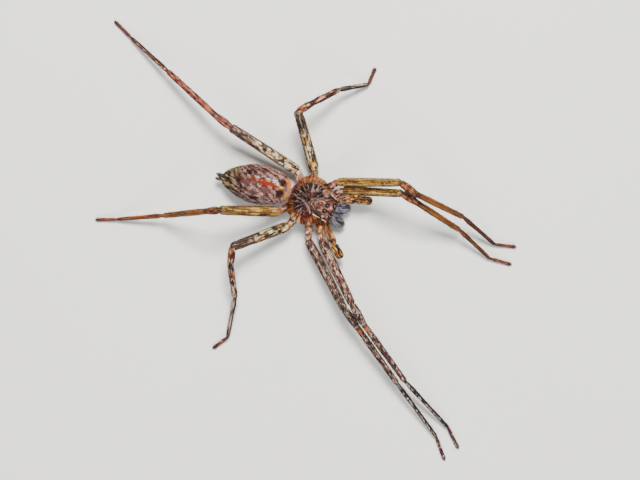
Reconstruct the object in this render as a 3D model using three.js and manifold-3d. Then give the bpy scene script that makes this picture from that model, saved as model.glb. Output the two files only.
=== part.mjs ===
// Huntsman spider, a life-size still model. Millimetres, +Z up, head along -Y, its left side along +X.
// Body and legs are laid out from the middle of the head shield, and the whole is then centred on the floor.
import * as THREE from "three";
import { mergeVertices } from "three/addons/utils/BufferGeometryUtils.js";
import Module from "manifold-3d";

const wasm = await Module();
wasm.setup();

// Driving dimensions
const JOINT_GAP = 0.3;
const EYE_GAP = 0.12;
const SHIELD_REAR = 3.8;
const SHIELD_FLOOR = 4.0;
const RIM_THICKNESS = 0.35;
const COXA_HEIGHT = 2.8;
const ABDOMEN_HEADING = 104.8;
const ABDOMEN_FRONT = new THREE.Vector3(0.05, 4.1, 0);

// Head shield: distance from its rear edge, half width, height of its ridge over the floor, and how square
// its section is (2 is an oval)
const SHIELD = [
  [0.0, 0.9, 4.6, 2.0],
  [0.35, 1.95, 4.95, 2.0],
  [1.0, 2.95, 5.5, 2.0],
  [2.0, 3.78, 6.1, 2.0],
  [3.2, 4.12, 6.42, 2.0],
  [4.2, 4.1, 6.46, 2.0],
  [5.2, 3.72, 6.38, 2.1],
  [6.0, 3.1, 6.26, 2.3],
  [6.7, 2.62, 6.1, 2.5],
  [7.4, 2.36, 5.9, 2.6],
  [8.1, 2.16, 5.58, 2.6],
  [8.5, 1.85, 5.05, 2.6],
];
const SHIELD_STATIONS = 18;
const SHIELD_ARCH_POINTS = 17;
const SHIELD_FLOOR_SHARES = [-0.94, -0.5, 0, 0.5, 0.94];

// Breast plate: place along Y, half width, height of its underside; its top is flat
const STERNUM = [
  [-2.8, 0.65, 2.5],
  [-2.3, 1.02, 2.28],
  [-1.4, 1.4, 2.15],
  [-0.4, 1.6, 2.1],
  [0.6, 1.6, 2.12],
  [1.5, 1.2, 2.2],
  [2.2, 0.72, 2.35],
  [2.8, 0.35, 2.6],
];
const STERNUM_TOP = 3.65;
const STERNUM_SIDES = 12;

// Abdomen with its narrow waist: distance from the waist, half width, half height, height of the middle
const ABDOMEN = [
  [0.0, 0.5, 0.5, 3.7],
  [0.2, 0.55, 0.55, 3.75],
  [0.42, 1.6, 1.3, 3.9],
  [0.9, 2.3, 1.82, 4.0],
  [1.6, 2.64, 2.18, 4.1],
  [2.8, 3.0, 2.52, 4.2],
  [4.2, 3.36, 2.74, 4.28],
  [5.8, 3.52, 2.85, 4.3],
  [7.2, 3.44, 2.76, 4.22],
  [8.6, 3.06, 2.46, 4.02],
  [10.0, 2.5, 2.0, 3.75],
  [11.2, 1.82, 1.48, 3.45],
  [12.0, 1.16, 1.0, 3.22],
  [12.4, 0.76, 0.7, 3.12],
];
const ABDOMEN_STATIONS = 20;
const ABDOMEN_SIDES = 22;
const SPINNERETS = [
  { across: 0.32, up: 0.15, length: 0.74, girth: 0.5, spread: 12 },
  { across: 0.28, up: -0.28, length: 0.56, girth: 0.54, spread: 6 },
];
const SPINNERET_BASE = { halfWidth: 0.7, halfHeight: 0.62, depth: 0.35, narrowing: 0.76 };
const SPINNERET_BASE_SIDES = 14;
const SPINNERET_SIDES = 10;
const SPINNERET_SWELL = [
  [0, 0.9],
  [0.35, 1],
  [0.8, 0.72],
  [1, 0.3],
];

// Legs, segment by segment from the coxa to the claws: how far each reaches in plan, the way it heads in
// degrees (-90 is straight ahead), and the height of its far joint. The foot's girth gives the claws' height.
const SEGMENTS = ["coxa", "femur", "patella", "tibia", "metatarsus", "tarsus"];
const LEGS = [
  {
    side: "left",
    pair: 1,
    reach: [3.65, 10.19, 3.15, 9.22, 7.64, 4.23],
    heading: [-38.6, -68.1, -95, -95.3, -105.9, -80.3],
    height: [3.3, 11.7, 10.5, 4.2, 0.85],
  },
  {
    side: "left",
    pair: 2,
    reach: [3.79, 10.92, 3.46, 9.56, 7.73, 4.06],
    heading: [-34.9, -66, -99, -88.5, -103.1, -71.2],
    height: [3.3, 13.5, 12.7, 5.6, 0.85],
  },
  {
    side: "left",
    pair: 3,
    reach: [3.35, 10.66, 2.9, 5.48, 5.55, 3.3],
    heading: [16.8, 42.1, -33, -34.8, -50.9, 2.7],
    height: [3.3, 9, 8.6, 4.6, 0.85],
  },
  {
    side: "left",
    pair: 4,
    reach: [3.39, 14.07, 3.59, 11.9, 9.14, 4.51],
    heading: [43.5, 83.2, 78.2, 73.1, 73.2, 70.9],
    height: [3.3, 6.8, 6.6, 3.4, 0.85],
  },
  {
    side: "right",
    pair: 1,
    reach: [4.73, 12.63, 4.24, 12.77, 11.65, 4.42],
    heading: [-147.3, -128.6, -123.6, -118.2, -111.2, -128.1],
    height: [3.3, 7.8, 7.4, 4.3, 0.85],
  },
  {
    side: "right",
    pair: 2,
    reach: [4.88, 13.93, 4.01, 12.49, 12.14, 4.71],
    heading: [-156.4, -126.2, -118.4, -118.8, -117.8, -134.1],
    height: [3.3, 5.8, 5.4, 3.6, 0.85],
  },
  {
    side: "right",
    pair: 3,
    reach: [3.75, 10.66, 3.38, 5.73, 7.47, 3.44],
    heading: [167.6, 137, -160.1, -147.4, -165.3, 153.2],
    height: [3.3, 8.4, 7.8, 3.6, 0.85],
  },
  {
    side: "right",
    pair: 4,
    reach: [3.62, 10.08, 2.25, 8.35, 8.56, 4.14],
    heading: [142.6, 115.3, 119.8, 120.8, 120.3, 117.2],
    height: [3.3, 13.2, 12, 3.6, 0.85],
  },
];

// Where each pair of legs starts beside the breast plate, and how thick its segments are
const PAIRS = {
  1: { root: [1.5, -2.3], girth: [1.34, 1.62, 1.4, 1.16, 0.82, 0.66] },
  2: { root: [2.1, -0.75], girth: [1.34, 1.62, 1.4, 1.16, 0.82, 0.66] },
  3: { root: [2.1, 0.8], girth: [1.46, 1.82, 1.32, 1.18, 0.84, 0.66] },
  4: { root: [1.4, 2.2], girth: [1.46, 1.86, 1.38, 1.18, 0.82, 0.64] },
};
const LEG_SIDES = 12;
// Coxa and tarsus are round; the segments between them are a little taller than wide.
const ROUND_SEGMENTS = ["coxa", "tarsus"];
const TALLNESS = 1.06;
const CLAW_HEIGHT_SHARE = 0.28;

// How each segment swells and narrows along its length, as shares of its girth
const SWELL = {
  coxa: [
    [0, 0.76],
    [0.12, 0.92],
    [0.5, 1.04],
    [0.72, 1.0],
    [0.78, 0.9],
    [0.89, 1.05],
    [1, 0.86],
  ],
  femur: [
    [0, 0.78],
    [0.05, 0.94],
    [0.18, 1.02],
    [0.42, 1.02],
    [0.7, 0.96],
    [0.92, 0.89],
    [1, 0.76],
  ],
  patella: [
    [0, 0.84],
    [0.25, 1.02],
    [0.7, 1.02],
    [1, 0.84],
  ],
  tibia: [
    [0.1, 0.98],
    [0.3, 1.04],
    [0.6, 0.97],
    [0.9, 0.9],
    [1, 0.78],
  ],
  metatarsus: [
    [0, 0.9],
    [0.1, 1.08],
    [0.45, 0.98],
    [0.92, 0.88],
    [1, 0.8],
  ],
  tarsus: [
    [0, 0.82],
    [0.14, 0.98],
    [0.5, 1.0],
    [0.8, 1.06],
    [0.92, 0.92],
    [1, 0.6],
  ],
};

// Feelers beside the jaws: their joints, root to tip, and their girth at each
const PALPS = {
  left: [
    [0.95, -3.5, 2.75, 0.72],
    [2.62, -4.8, 3.3, 0.8],
    [3.72, -7.2, 4.9, 1.36],
    [4.1, -8.1, 4.7, 1.46],
    [4.8, -9.85, 3.1, 1.2],
  ],
  right: [
    [-0.95, -3.5, 2.75, 0.72],
    [-2.95, -4.75, 3.3, 0.8],
    [-5.25, -7.15, 4.85, 1.4],
    [-5.75, -7.9, 4.7, 1.48],
    [-6.75, -9.35, 3.1, 1.2],
  ],
};

// Along a feeler's base and tip: which of its two segments, the share of that segment's length, the joint
// whose girth counts, and the share of that girth
const PALP_KNEE = 2;
const PALP_SWELL = {
  base: [
    [0, 0, 0, 1],
    [0, 0.5, 0, 1.08],
    [0, 1, 1, 1],
    [1, 0.3, 1, 1.36],
    [1, 0.6, 2, 1],
    [1, 1, 2, 0.82],
  ],
  tip: [
    [0, 0, 2, 0.84],
    [0, 0.6, 3, 0.98],
    [1, 0, 3, 0.94],
    [1, 0.35, 3, 1],
    [1, 0.7, 3, 0.92],
    [1, 0.88, 4, 0.9],
    [1, 1, 4, 0.5],
  ],
};

// Jaws: root on the front of the head, far end over the fang, and the fang's bend and point
const JAWS = {
  left: {
    root: [0.98, -5.0, 3.5],
    end: [1.8, -6.6, 1.85],
    bend: [2.0, -7.05, 0.85],
    point: [0.8, -6.4, 0.6],
  },
  right: {
    root: [-0.98, -5.0, 3.5],
    end: [-1.35, -6.85, 1.85],
    bend: [-1.5, -7.25, 0.85],
    point: [-0.3, -6.6, 0.6],
  },
};
const JAW_HALF_WIDTH = 0.86;
const JAW_HALF_DEPTH = 0.8;
const JAW_SIDES = 14;
const JAW_SWELL = [
  [0, 0.82],
  [0.18, 0.97],
  [0.45, 1],
  [0.75, 0.9],
  [0.93, 0.74],
  [1, 0.6],
];
const FANG_RADIUS = 0.3;
const FANG_SIDES = 10;
const FANG_STEPS = 6;
const FANG_NARROWING = 0.85;

// Eyes: half the spacing of each pair, place along Y, height and radius
const EYES = {
  rear_middle: [0.54, -3.06, 6.04, 0.31],
  rear_side: [2.06, -2.74, 5.44, 0.31],
  front_middle: [0.34, -4.48, 5.3, 0.22],
  front_side: [1.0, -4.3, 5.3, 0.34],
};
const EYE_SIDES = 12;
const EYE_ROUNDS = 8;
const SOCKET_SIDES = 10;
const SOCKET_ROUNDS = 7;

const COLOURS = {
  shield: "#6b3a2c",
  sternum: "#8a6a4c",
  abdomen: "#9a7068",
  spinnerets: "#b08a6a",
  jaw: "#5a5d6e",
  fang: "#2a1210",
  eye: "#08080a",
  palp: "#a87a54",
  coxa: "#a5683c",
  femur: "#c08a4a",
  tibia: "#a0603c",
  metatarsus: "#8a4630",
  tarsus: "#7a342a",
};

const UP = new THREE.Vector3(0, 0, 1);

// A smooth curve through the rows of a table whose first column rises; returns the other columns at x.
function readTable(table, x) {
  const last = table.length - 1;
  let i = table.findIndex((row) => row[0] > x);
  i = i < 0 ? last - 1 : Math.max(i - 1, 0);
  const slope = (k, c) => {
    const a = Math.max(k - 1, 0);
    const b = Math.min(k + 1, last);
    return (table[b][c] - table[a][c]) / (table[b][0] - table[a][0]);
  };
  const step = table[i + 1][0] - table[i][0];
  const t = THREE.MathUtils.clamp((x - table[i][0]) / step, 0, 1);
  const near = (1 + 2 * t) * (1 - t) ** 2;
  const far = t * t * (3 - 2 * t);
  const leave = t * (1 - t) ** 2 * step;
  const arrive = t * t * (t - 1) * step;
  return table[i]
    .map((value, c) => near * value + far * table[i + 1][c] + leave * slope(i, c) + arrive * slope(i + 1, c))
    .slice(1);
}

// Stations along a table, closer together near its ends, where the shape turns fastest.
function stations(table, count) {
  const span = table.at(-1)[0] - table[0][0];
  const ease = 0.35;
  return Array.from({ length: count }, (_, i) => {
    const t = i / (count - 1);
    const eased = (1 - Math.cos(Math.PI * t)) / 2;
    return table[0][0] + span * (t * (1 - ease) + eased * ease);
  });
}

// A closed surface through rings of as many points each, with both ends capped.
function loft(rings) {
  const sides = rings[0].length;
  const middle = (ring) => ring.reduce((sum, p) => sum.add(p), new THREE.Vector3()).divideScalar(sides);
  const points = rings.flat();
  const first = points.push(middle(rings[0])) - 1;
  const last = points.push(middle(rings.at(-1))) - 1;
  const faces = [];
  const lastRing = (rings.length - 1) * sides;
  for (let k = 0; k < sides; k++) {
    const next = (k + 1) % sides;
    for (let i = 0; i < lastRing; i += sides) {
      faces.push(i + k, i + next, i + sides + next);
      faces.push(i + k, i + sides + next, i + sides + k);
    }
    faces.push(first, next, k);
    faces.push(last, lastRing + k, lastRing + next);
  }
  const geometry = new THREE.BufferGeometry().setFromPoints(points);
  geometry.setIndex(faces);
  return geometry;
}

// An oval ring round centre, square to along, moved along that direction on to a plane with the given normal.
function ovalRing(centre, along, halfWidth, halfHeight, sides, normal = along) {
  const across = new THREE.Vector3().crossVectors(UP, along).normalize();
  const over = new THREE.Vector3().crossVectors(along, across);
  return Array.from({ length: sides }, (_, k) => {
    const angle = (2 * Math.PI * k) / sides;
    const spoke = across
      .clone()
      .multiplyScalar(halfWidth * Math.cos(angle))
      .addScaledVector(over, halfHeight * Math.sin(angle));
    const shift = -spoke.dot(normal) / along.dot(normal);
    return spoke.addScaledVector(along, shift).add(centre);
  });
}

const direction = (from, to) => to.clone().sub(from).normalize();

// The plane that halves the bend between two directions.
const mitre = (before, after) => before.clone().add(after).normalize();

function solidOf(geometry) {
  const bare = geometry.clone();
  bare.deleteAttribute("normal");
  bare.deleteAttribute("uv");
  const merged = mergeVertices(bare, 1e-4);
  return new wasm.Manifold(
    new wasm.Mesh({
      numProp: 3,
      vertProperties: merged.attributes.position.array,
      triVerts: new Uint32Array(merged.index.array),
    }),
  );
}

function geometryOf(solid) {
  const mesh = solid.getMesh();
  const geometry = new THREE.BufferGeometry();
  geometry.setAttribute("position", new THREE.BufferAttribute(mesh.vertProperties, 3));
  geometry.setIndex(new THREE.BufferAttribute(mesh.triVerts, 1));
  return geometry;
}

const spider = new THREE.Group();

function addPart(name, geometry, colour) {
  geometry.computeVertexNormals();
  const material = new THREE.MeshStandardMaterial({ color: colour, metalness: 0 });
  const mesh = new THREE.Mesh(geometry, material);
  mesh.name = name;
  spider.add(mesh);
}

// Head shield: a domed plate with a thin rim and a flat underside, with a socket round each eye
function shieldRing(distance) {
  const [halfWidth, ridge, squareness] = readTable(SHIELD, distance);
  const y = SHIELD_REAR - distance;
  const rimTop = SHIELD_FLOOR + RIM_THICKNESS;
  const ring = [];
  for (let k = 0; k < SHIELD_ARCH_POINTS; k++) {
    const angle = (Math.PI * k) / (SHIELD_ARCH_POINTS - 1);
    const out = Math.abs(Math.cos(angle)) ** (2 / squareness) * Math.sign(Math.cos(angle));
    const rise = Math.sin(angle) ** (2 / squareness);
    ring.push(new THREE.Vector3(halfWidth * out, y, rimTop + (ridge - rimTop) * rise));
  }
  for (const share of SHIELD_FLOOR_SHARES) {
    ring.push(new THREE.Vector3(halfWidth * share, y, SHIELD_FLOOR));
  }
  return ring;
}

function eyePlaces() {
  return Object.entries(EYES).flatMap(([row, [half, y, z, radius]]) =>
    [1, -1].map((side) => ({
      name: `eye_${row}_${side > 0 ? "left" : "right"}`,
      centre: new THREE.Vector3(side * half, y, z),
      radius,
    })),
  );
}

function addHeadShield() {
  let shield = solidOf(loft(stations(SHIELD, SHIELD_STATIONS).map(shieldRing)));
  for (const { centre, radius } of eyePlaces()) {
    const socket = new THREE.SphereGeometry(radius + EYE_GAP, SOCKET_SIDES, SOCKET_ROUNDS);
    socket.translate(...centre);
    shield = shield.subtract(solidOf(socket));
  }
  addPart("carapace", geometryOf(shield), COLOURS.shield);
}

function addEyes() {
  for (const { name, centre, radius } of eyePlaces()) {
    const ball = new THREE.SphereGeometry(radius, EYE_SIDES, EYE_ROUNDS).translate(...centre);
    addPart(name, ball, COLOURS.eye);
  }
}

function sternumRing([y, halfWidth, underside]) {
  return Array.from({ length: STERNUM_SIDES }, (_, k) => {
    const angle = (-2 * Math.PI * (k + 0.5)) / STERNUM_SIDES;
    const z = Math.sin(angle) > 0 ? STERNUM_TOP : STERNUM_TOP + (STERNUM_TOP - underside) * Math.sin(angle);
    return new THREE.Vector3(halfWidth * Math.cos(angle), y, z);
  });
}

// Abdomen and spinnerets: one long egg on a narrow waist, swung a little to the right of the head's line
function abdomenPoint(distance, height) {
  const heading = THREE.MathUtils.degToRad(ABDOMEN_HEADING);
  const along = new THREE.Vector3(Math.cos(heading), Math.sin(heading), 0);
  return ABDOMEN_FRONT.clone().addScaledVector(along, distance).setZ(height);
}

function abdomenRing(distance) {
  const [halfWidth, halfHeight, height] = readTable(ABDOMEN, distance);
  const along = direction(abdomenPoint(0, 0), abdomenPoint(1, 0));
  return ovalRing(abdomenPoint(distance, height), along, halfWidth, halfHeight, ABDOMEN_SIDES);
}

function addSpinnerets() {
  const [lastDistance, , , height] = ABDOMEN.at(-1);
  const start = lastDistance + JOINT_GAP;
  const along = direction(abdomenPoint(0, 0), abdomenPoint(1, 0));
  const across = new THREE.Vector3().crossVectors(along, UP);
  const { halfWidth, halfHeight, depth, narrowing } = SPINNERET_BASE;
  const base = [0, 1].map((end) => {
    const share = end ? narrowing : 1;
    const centre = abdomenPoint(start + depth * end, height);
    return ovalRing(centre, along, halfWidth * share, halfHeight * share, SPINNERET_BASE_SIDES);
  });
  let whole = solidOf(loft(base));
  for (const { across: aside, up, length, girth, spread } of SPINNERETS) {
    for (const side of [1, -1]) {
      const turn = Math.tan(THREE.MathUtils.degToRad(spread)) * side;
      const way = along.clone().addScaledVector(across, turn).normalize();
      const root = abdomenPoint(start + depth / 2, height + up).addScaledVector(across, aside * side);
      const rings = SPINNERET_SWELL.map(([t, share]) => {
        const radius = (girth / 2) * share;
        const centre = root.clone().addScaledVector(way, t * length);
        return ovalRing(centre, way, radius, radius, SPINNERET_SIDES);
      });
      whole = whole.add(solidOf(loft(rings)));
    }
  }
  addPart("spinnerets", geometryOf(whole), COLOURS.spinnerets);
}

// Jaws: a stout base that leans forward and down from the face, and a curved fang folded inwards beneath it
function addJaw(side, { root, end, bend, point }) {
  const from = new THREE.Vector3(...root);
  const to = new THREE.Vector3(...end);
  const along = direction(from, to);
  const ahead = new THREE.Vector3(0, -1, 0);
  const rings = JAW_SWELL.map(([t, share], i) => {
    const centre = from.clone().lerp(to, t);
    const normal = i === 0 ? ahead : along;
    return ovalRing(centre, along, JAW_HALF_WIDTH * share, JAW_HALF_DEPTH * share, JAW_SIDES, normal);
  });
  addPart(`chelicera_${side}`, loft(rings), COLOURS.jaw);

  const start = to.clone().addScaledVector(along, JOINT_GAP);
  const bent = new THREE.Vector3(...bend);
  const curve = new THREE.QuadraticBezierCurve3(start, bent, new THREE.Vector3(...point));
  const fang = Array.from({ length: FANG_STEPS + 1 }, (_, i) => {
    const t = i / FANG_STEPS;
    const radius = FANG_RADIUS * (1 - FANG_NARROWING * t ** 1.3);
    return ovalRing(curve.getPoint(t), curve.getTangent(t), radius, radius, FANG_SIDES);
  });
  addPart(`fang_${side}`, loft(fang), COLOURS.fang);
}

// Rings of a limb that follows a chain of joints. Each station gives its segment, its share of that segment's
// length and its half width and half height. Rings at a joint lie on the plane that halves its bend.
function limbRings(joints, rows, startNormal, endNormal, sides) {
  const ways = joints.slice(1).map((joint, i) => direction(joints[i], joint));
  const lastWay = ways.length - 1;
  return rows.map(({ segment, share, halfWidth, halfHeight }, i) => {
    const along = ways[segment];
    const centre = joints[segment].clone().lerp(joints[segment + 1], share);
    let normal = along;
    if (i === 0) {
      normal = startNormal;
      centre.addScaledVector(along, JOINT_GAP / 2 / along.dot(normal));
    } else if (i === rows.length - 1) {
      normal = endNormal;
      centre.addScaledVector(along, -JOINT_GAP / 2 / along.dot(normal));
    } else if (share === 1 && segment < lastWay) {
      normal = mitre(along, ways[segment + 1]);
    }
    return ovalRing(centre, along, halfWidth, halfHeight, sides, normal);
  });
}

function segmentRows(name, segment, girth) {
  return SWELL[name].map(([share, swell]) => ({
    segment,
    share,
    halfWidth: (girth * swell) / 2,
    halfHeight: (girth * swell * (ROUND_SEGMENTS.includes(name) ? 1 : TALLNESS)) / 2,
  }));
}

// Legs: coxa with trochanter, femur, tibia with the patella before it, metatarsus and tarsus
function legJoints({ side, pair, reach, heading, height }) {
  const mirror = side === "left" ? 1 : -1;
  const { root, girth } = PAIRS[pair];
  const heights = [...height, CLAW_HEIGHT_SHARE * girth.at(-1)];
  const joints = [new THREE.Vector3(mirror * root[0], root[1], COXA_HEIGHT)];
  SEGMENTS.forEach((_, i) => {
    const angle = THREE.MathUtils.degToRad(heading[i]);
    const step = new THREE.Vector3(Math.cos(angle), Math.sin(angle), 0).multiplyScalar(reach[i]);
    joints.push(joints[i].clone().add(step).setZ(heights[i]));
  });
  return joints;
}

// Nothing of a foot goes through the floor: what would lies flat on it.
function restOnFloor(rings) {
  return rings.map((ring) => ring.map((point) => point.setZ(Math.max(point.z, 0))));
}

function addLeg(leg) {
  const joints = legJoints(leg);
  const ways = joints.slice(1).map((joint, i) => direction(joints[i], joint));
  const { girth } = PAIRS[leg.pair];
  const pieces = [
    ["coxa", ["coxa"]],
    ["femur", ["femur"]],
    ["tibia", ["patella", "tibia"]],
    ["metatarsus", ["metatarsus"]],
    ["tarsus", ["tarsus"]],
  ];
  for (const [piece, names] of pieces) {
    const first = SEGMENTS.indexOf(names[0]);
    const last = first + names.length - 1;
    const chain = joints.slice(first, last + 2);
    const startNormal = first === 0 ? ways[0] : mitre(ways[first - 1], ways[first]);
    const endNormal = last === SEGMENTS.length - 1 ? ways[last] : mitre(ways[last], ways[last + 1]);
    const rows = names.flatMap((name, i) => segmentRows(name, i, girth[first + i]));
    const rings = limbRings(chain, rows, startNormal, endNormal, LEG_SIDES);
    const whole = piece === "tarsus" ? restOnFloor(rings) : rings;
    addPart(`leg_${leg.side}_${leg.pair}_${piece}`, loft(whole), COLOURS[piece]);
  }
}

// Feelers: a base under the head with the long first joint, and the bent tip
function addPalp(side, rows) {
  const joints = rows.map(([x, y, z]) => new THREE.Vector3(x, y, z));
  const ways = joints.slice(1).map((joint, i) => direction(joints[i], joint));
  const bend = mitre(ways[PALP_KNEE - 1], ways[PALP_KNEE]);
  const swollen = ([segment, share, joint, swell]) => {
    const radius = (rows[joint][3] * swell) / 2;
    return { segment, share, halfWidth: radius, halfHeight: radius };
  };
  const base = PALP_SWELL.base.map(swollen);
  const tip = PALP_SWELL.tip.map(swollen);
  const baseRings = limbRings(joints.slice(0, PALP_KNEE + 1), base, ways[0], bend, LEG_SIDES);
  const tipRings = limbRings(joints.slice(PALP_KNEE), tip, bend, ways.at(-1), LEG_SIDES);
  addPart(`palp_${side}_base`, loft(baseRings), COLOURS.palp);
  addPart(`palp_${side}_tip`, loft(tipRings), COLOURS.palp);
}

addHeadShield();
addEyes();
addPart("sternum", loft(STERNUM.map(sternumRing)), COLOURS.sternum);
addPart("abdomen", loft(stations(ABDOMEN, ABDOMEN_STATIONS).map(abdomenRing)), COLOURS.abdomen);
addSpinnerets();
Object.entries(JAWS).forEach(([side, jaw]) => addJaw(side, jaw));
Object.entries(PALPS).forEach(([side, rows]) => addPalp(side, rows));
LEGS.forEach(addLeg);

// The origin is the middle of the floor under the spider, between its farthest claws.
const middle = new THREE.Box3().setFromObject(spider).getCenter(new THREE.Vector3());
spider.position.set(-middle.x, -middle.y, 0);

export default spider;
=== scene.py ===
"""Huntsman spider, a life-size still model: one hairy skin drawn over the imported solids, a coat of short
hair that carries the same markings, and glossy eyes, fangs, claws and leg spines of their own.
Shapes are worked out in millimetres and turned to metres as each mesh is made."""

import math

import bpy
import numpy as np
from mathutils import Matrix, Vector
from mathutils.bvhtree import BVHTree


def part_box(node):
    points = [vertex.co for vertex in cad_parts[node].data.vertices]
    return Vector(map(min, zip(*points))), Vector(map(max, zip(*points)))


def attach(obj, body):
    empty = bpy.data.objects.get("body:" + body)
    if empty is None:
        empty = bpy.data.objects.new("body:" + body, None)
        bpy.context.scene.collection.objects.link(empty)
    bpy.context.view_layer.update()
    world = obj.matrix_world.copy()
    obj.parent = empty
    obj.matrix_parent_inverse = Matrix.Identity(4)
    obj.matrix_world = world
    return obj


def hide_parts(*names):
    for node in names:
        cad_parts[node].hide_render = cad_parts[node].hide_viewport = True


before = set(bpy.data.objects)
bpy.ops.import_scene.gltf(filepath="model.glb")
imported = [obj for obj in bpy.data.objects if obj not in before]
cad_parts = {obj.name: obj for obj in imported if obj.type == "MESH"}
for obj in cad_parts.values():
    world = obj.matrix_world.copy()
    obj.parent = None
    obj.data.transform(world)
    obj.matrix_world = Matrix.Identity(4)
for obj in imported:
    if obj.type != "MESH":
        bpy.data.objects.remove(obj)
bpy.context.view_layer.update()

MM = 0.001
UP = np.array([0.0, 0.0, 1.0])
AHEAD = np.array([0.0, -1.0, 0.0])

# The head shield's middle lies this far in front of its rear edge, and its rim this high over the floor.
SHIELD_REAR = 3.8
RIM_HEIGHT = 4.35

# Skin: how fine it is drawn, how far it lies inside the solids, and how deep the joints' folds are
SKIN_VOXEL = 0.12
COAT_DEPTH = 0.05
JOINT_FOLD = 0.8
LIMB_SIDES = 22
LIMB_STEP = 0.14

# Coat: how many tufts there are for each one that these counts give
COAT_SHARE = 1.0

SIDES = ("left", "right")
PAIRS = (1, 2, 3, 4)
SEGMENTS = ("coxa", "femur", "tibia", "metatarsus", "tarsus")
LEGS = [f"leg_{side}_{pair}" for side in SIDES for pair in PAIRS]


# Numbers and directions


def unit(v):
    return v / np.maximum(np.linalg.norm(v, axis=-1, keepdims=True), 1e-9)


def dot(a, b):
    return np.sum(a * b, axis=-1)


def ramp(value, low, high):
    """0 below low, 1 above high, and smooth between them."""
    t = np.clip((value - low) / (high - low), 0, 1)
    return t * t * (3 - 2 * t)


def fade(value, low, high):
    """1 below low, 0 above high, and smooth between them."""
    return ramp(-value, -high, -low)


def bell(value, width):
    """1 at 0, falling smoothly to almost 0 at twice the width."""
    return np.exp(-((value / width) ** 2))


def colour(hex_code):
    """An sRGB hex colour as linear red, green and blue."""
    parts = [int(hex_code[i : i + 2], 16) / 255 for i in (1, 3, 5)]
    return np.array([c / 12.92 if c <= 0.04045 else ((c + 0.055) / 1.055) ** 2.4 for c in parts])


def noise(places, seed):
    """Smooth noise from 0 to 1, with one bump in each unit cell of places."""
    places = places + 1000.0
    cell = np.floor(places).astype(np.uint64)
    t = places - cell
    t = t * t * (3 - 2 * t)
    strides = np.array([374761393, 668265263, 2246822519], np.uint64)[: places.shape[1]]
    total = np.zeros(len(places))
    for corner in np.ndindex(*(2,) * places.shape[1]):
        step = np.array(corner)
        weight = np.prod(np.where(step, t, 1 - t), axis=1)
        mixed = ((cell + step.astype(np.uint64)) * strides).sum(1) + np.uint64(seed * 3266489917)
        mixed = (mixed ^ (mixed >> np.uint64(15))) * np.uint64(2246822519)
        mixed = (mixed ^ (mixed >> np.uint64(13))) * np.uint64(3266489917)
        total += weight * (((mixed >> np.uint64(16)) & np.uint64(65535)) / 65535.0)
    return total


def streaks(along, across, length, width, seed):
    """Noise drawn out into streaks of about this length and width, in millimetres."""
    coarse = noise(np.stack([along / length, across / width], 1), seed)
    fine = noise(np.stack([along / length * 2.1, across / width * 2.1], 1), seed + 50)
    return 0.68 * coarse + 0.32 * fine


def dashes(along, across, length, width, seed, slim=0.9):
    """Broken lines side by side, highest along the middle of each stroke. A stroke has about this length,
    and the lines lie this width apart, in millimetres. The more slim, the narrower each stroke."""
    wave = noise(np.stack([along / (2 * length), across / (4 * width)], 1), seed + 50)
    line = across / width + 0.9 * wave
    row = np.floor(line)
    edge = np.abs(2 * (line - row) - 1)
    return noise(np.stack([along / length + 0.6 * row, row], 1), seed) - slim * edge**1.5


def smooth(stations, rows, places):
    """A smooth curve through rows of numbers, read at places between their stations."""
    slopes = np.gradient(rows, stations, axis=0)
    i = np.clip(np.searchsorted(stations, places, side="right") - 1, 0, len(stations) - 2)
    step = (stations[i + 1] - stations[i])[:, None]
    t = (places[:, None] - stations[i][:, None]) / step
    near = (1 + 2 * t) * (1 - t) ** 2 * rows[i]
    far = t * t * (3 - 2 * t) * rows[i + 1]
    return near + far + step * (t * (1 - t) ** 2 * slopes[i] + t * t * (t - 1) * slopes[i + 1])


def line_distance(places, a, b):
    """How far places, in plan or in space, are from the stretch between two points."""
    a = np.asarray(a, float)
    way = np.asarray(b, float) - a
    t = np.clip((places - a) @ way / (way @ way), 0, 1)
    return np.linalg.norm(places - a - t[:, None] * way, axis=1)


def stretches(path):
    """The straight stretches of a path, each as its two ends."""
    return zip(path[:-1], path[1:])


def path_distance(places, path):
    return np.min([line_distance(places, a, b) for a, b in stretches(path)], axis=0)


def full_turn(sides):
    """Angles spread evenly round a circle."""
    return 2 * np.pi * np.arange(sides) / sides


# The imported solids


def solid(node):
    """The corners of a CAD node in millimetres, each place once, and its triangles."""
    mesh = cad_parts[node].data
    places = np.empty(len(mesh.vertices) * 3)
    mesh.vertices.foreach_get("co", places)
    rounded = np.round(places.reshape(-1, 3) / MM, 3)
    corners, which = np.unique(rounded, axis=0, return_inverse=True)
    loops = np.empty(len(mesh.loops), int)
    mesh.loops.foreach_get("vertex_index", loops)
    return corners, which.reshape(-1)[loops].reshape(-1, 3)


def cross_sections(node, start):
    """The rounds of corners along a lofted node, from the end that is nearer to start."""
    corners, triangles = solid(node)
    touching = [set() for _ in corners]
    for triangle in triangles.tolist():
        for corner in triangle:
            touching[corner].update(triangle)
    caps = sorted(range(len(corners)), key=lambda i: -len(touching[i]))[:2]
    first = min(caps, key=lambda i: np.linalg.norm(corners[i] - start))
    found = []
    seen = {first}
    layer = {first}
    while layer:
        layer = set().union(*(touching[i] for i in layer)) - seen
        seen |= layer
        if len(layer) > 1:
            found.append(corners[sorted(layer)])
    return found


# Rounds nearer to the last one than this are left out of a limb's curve
LEAST_STEP = 0.06


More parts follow.
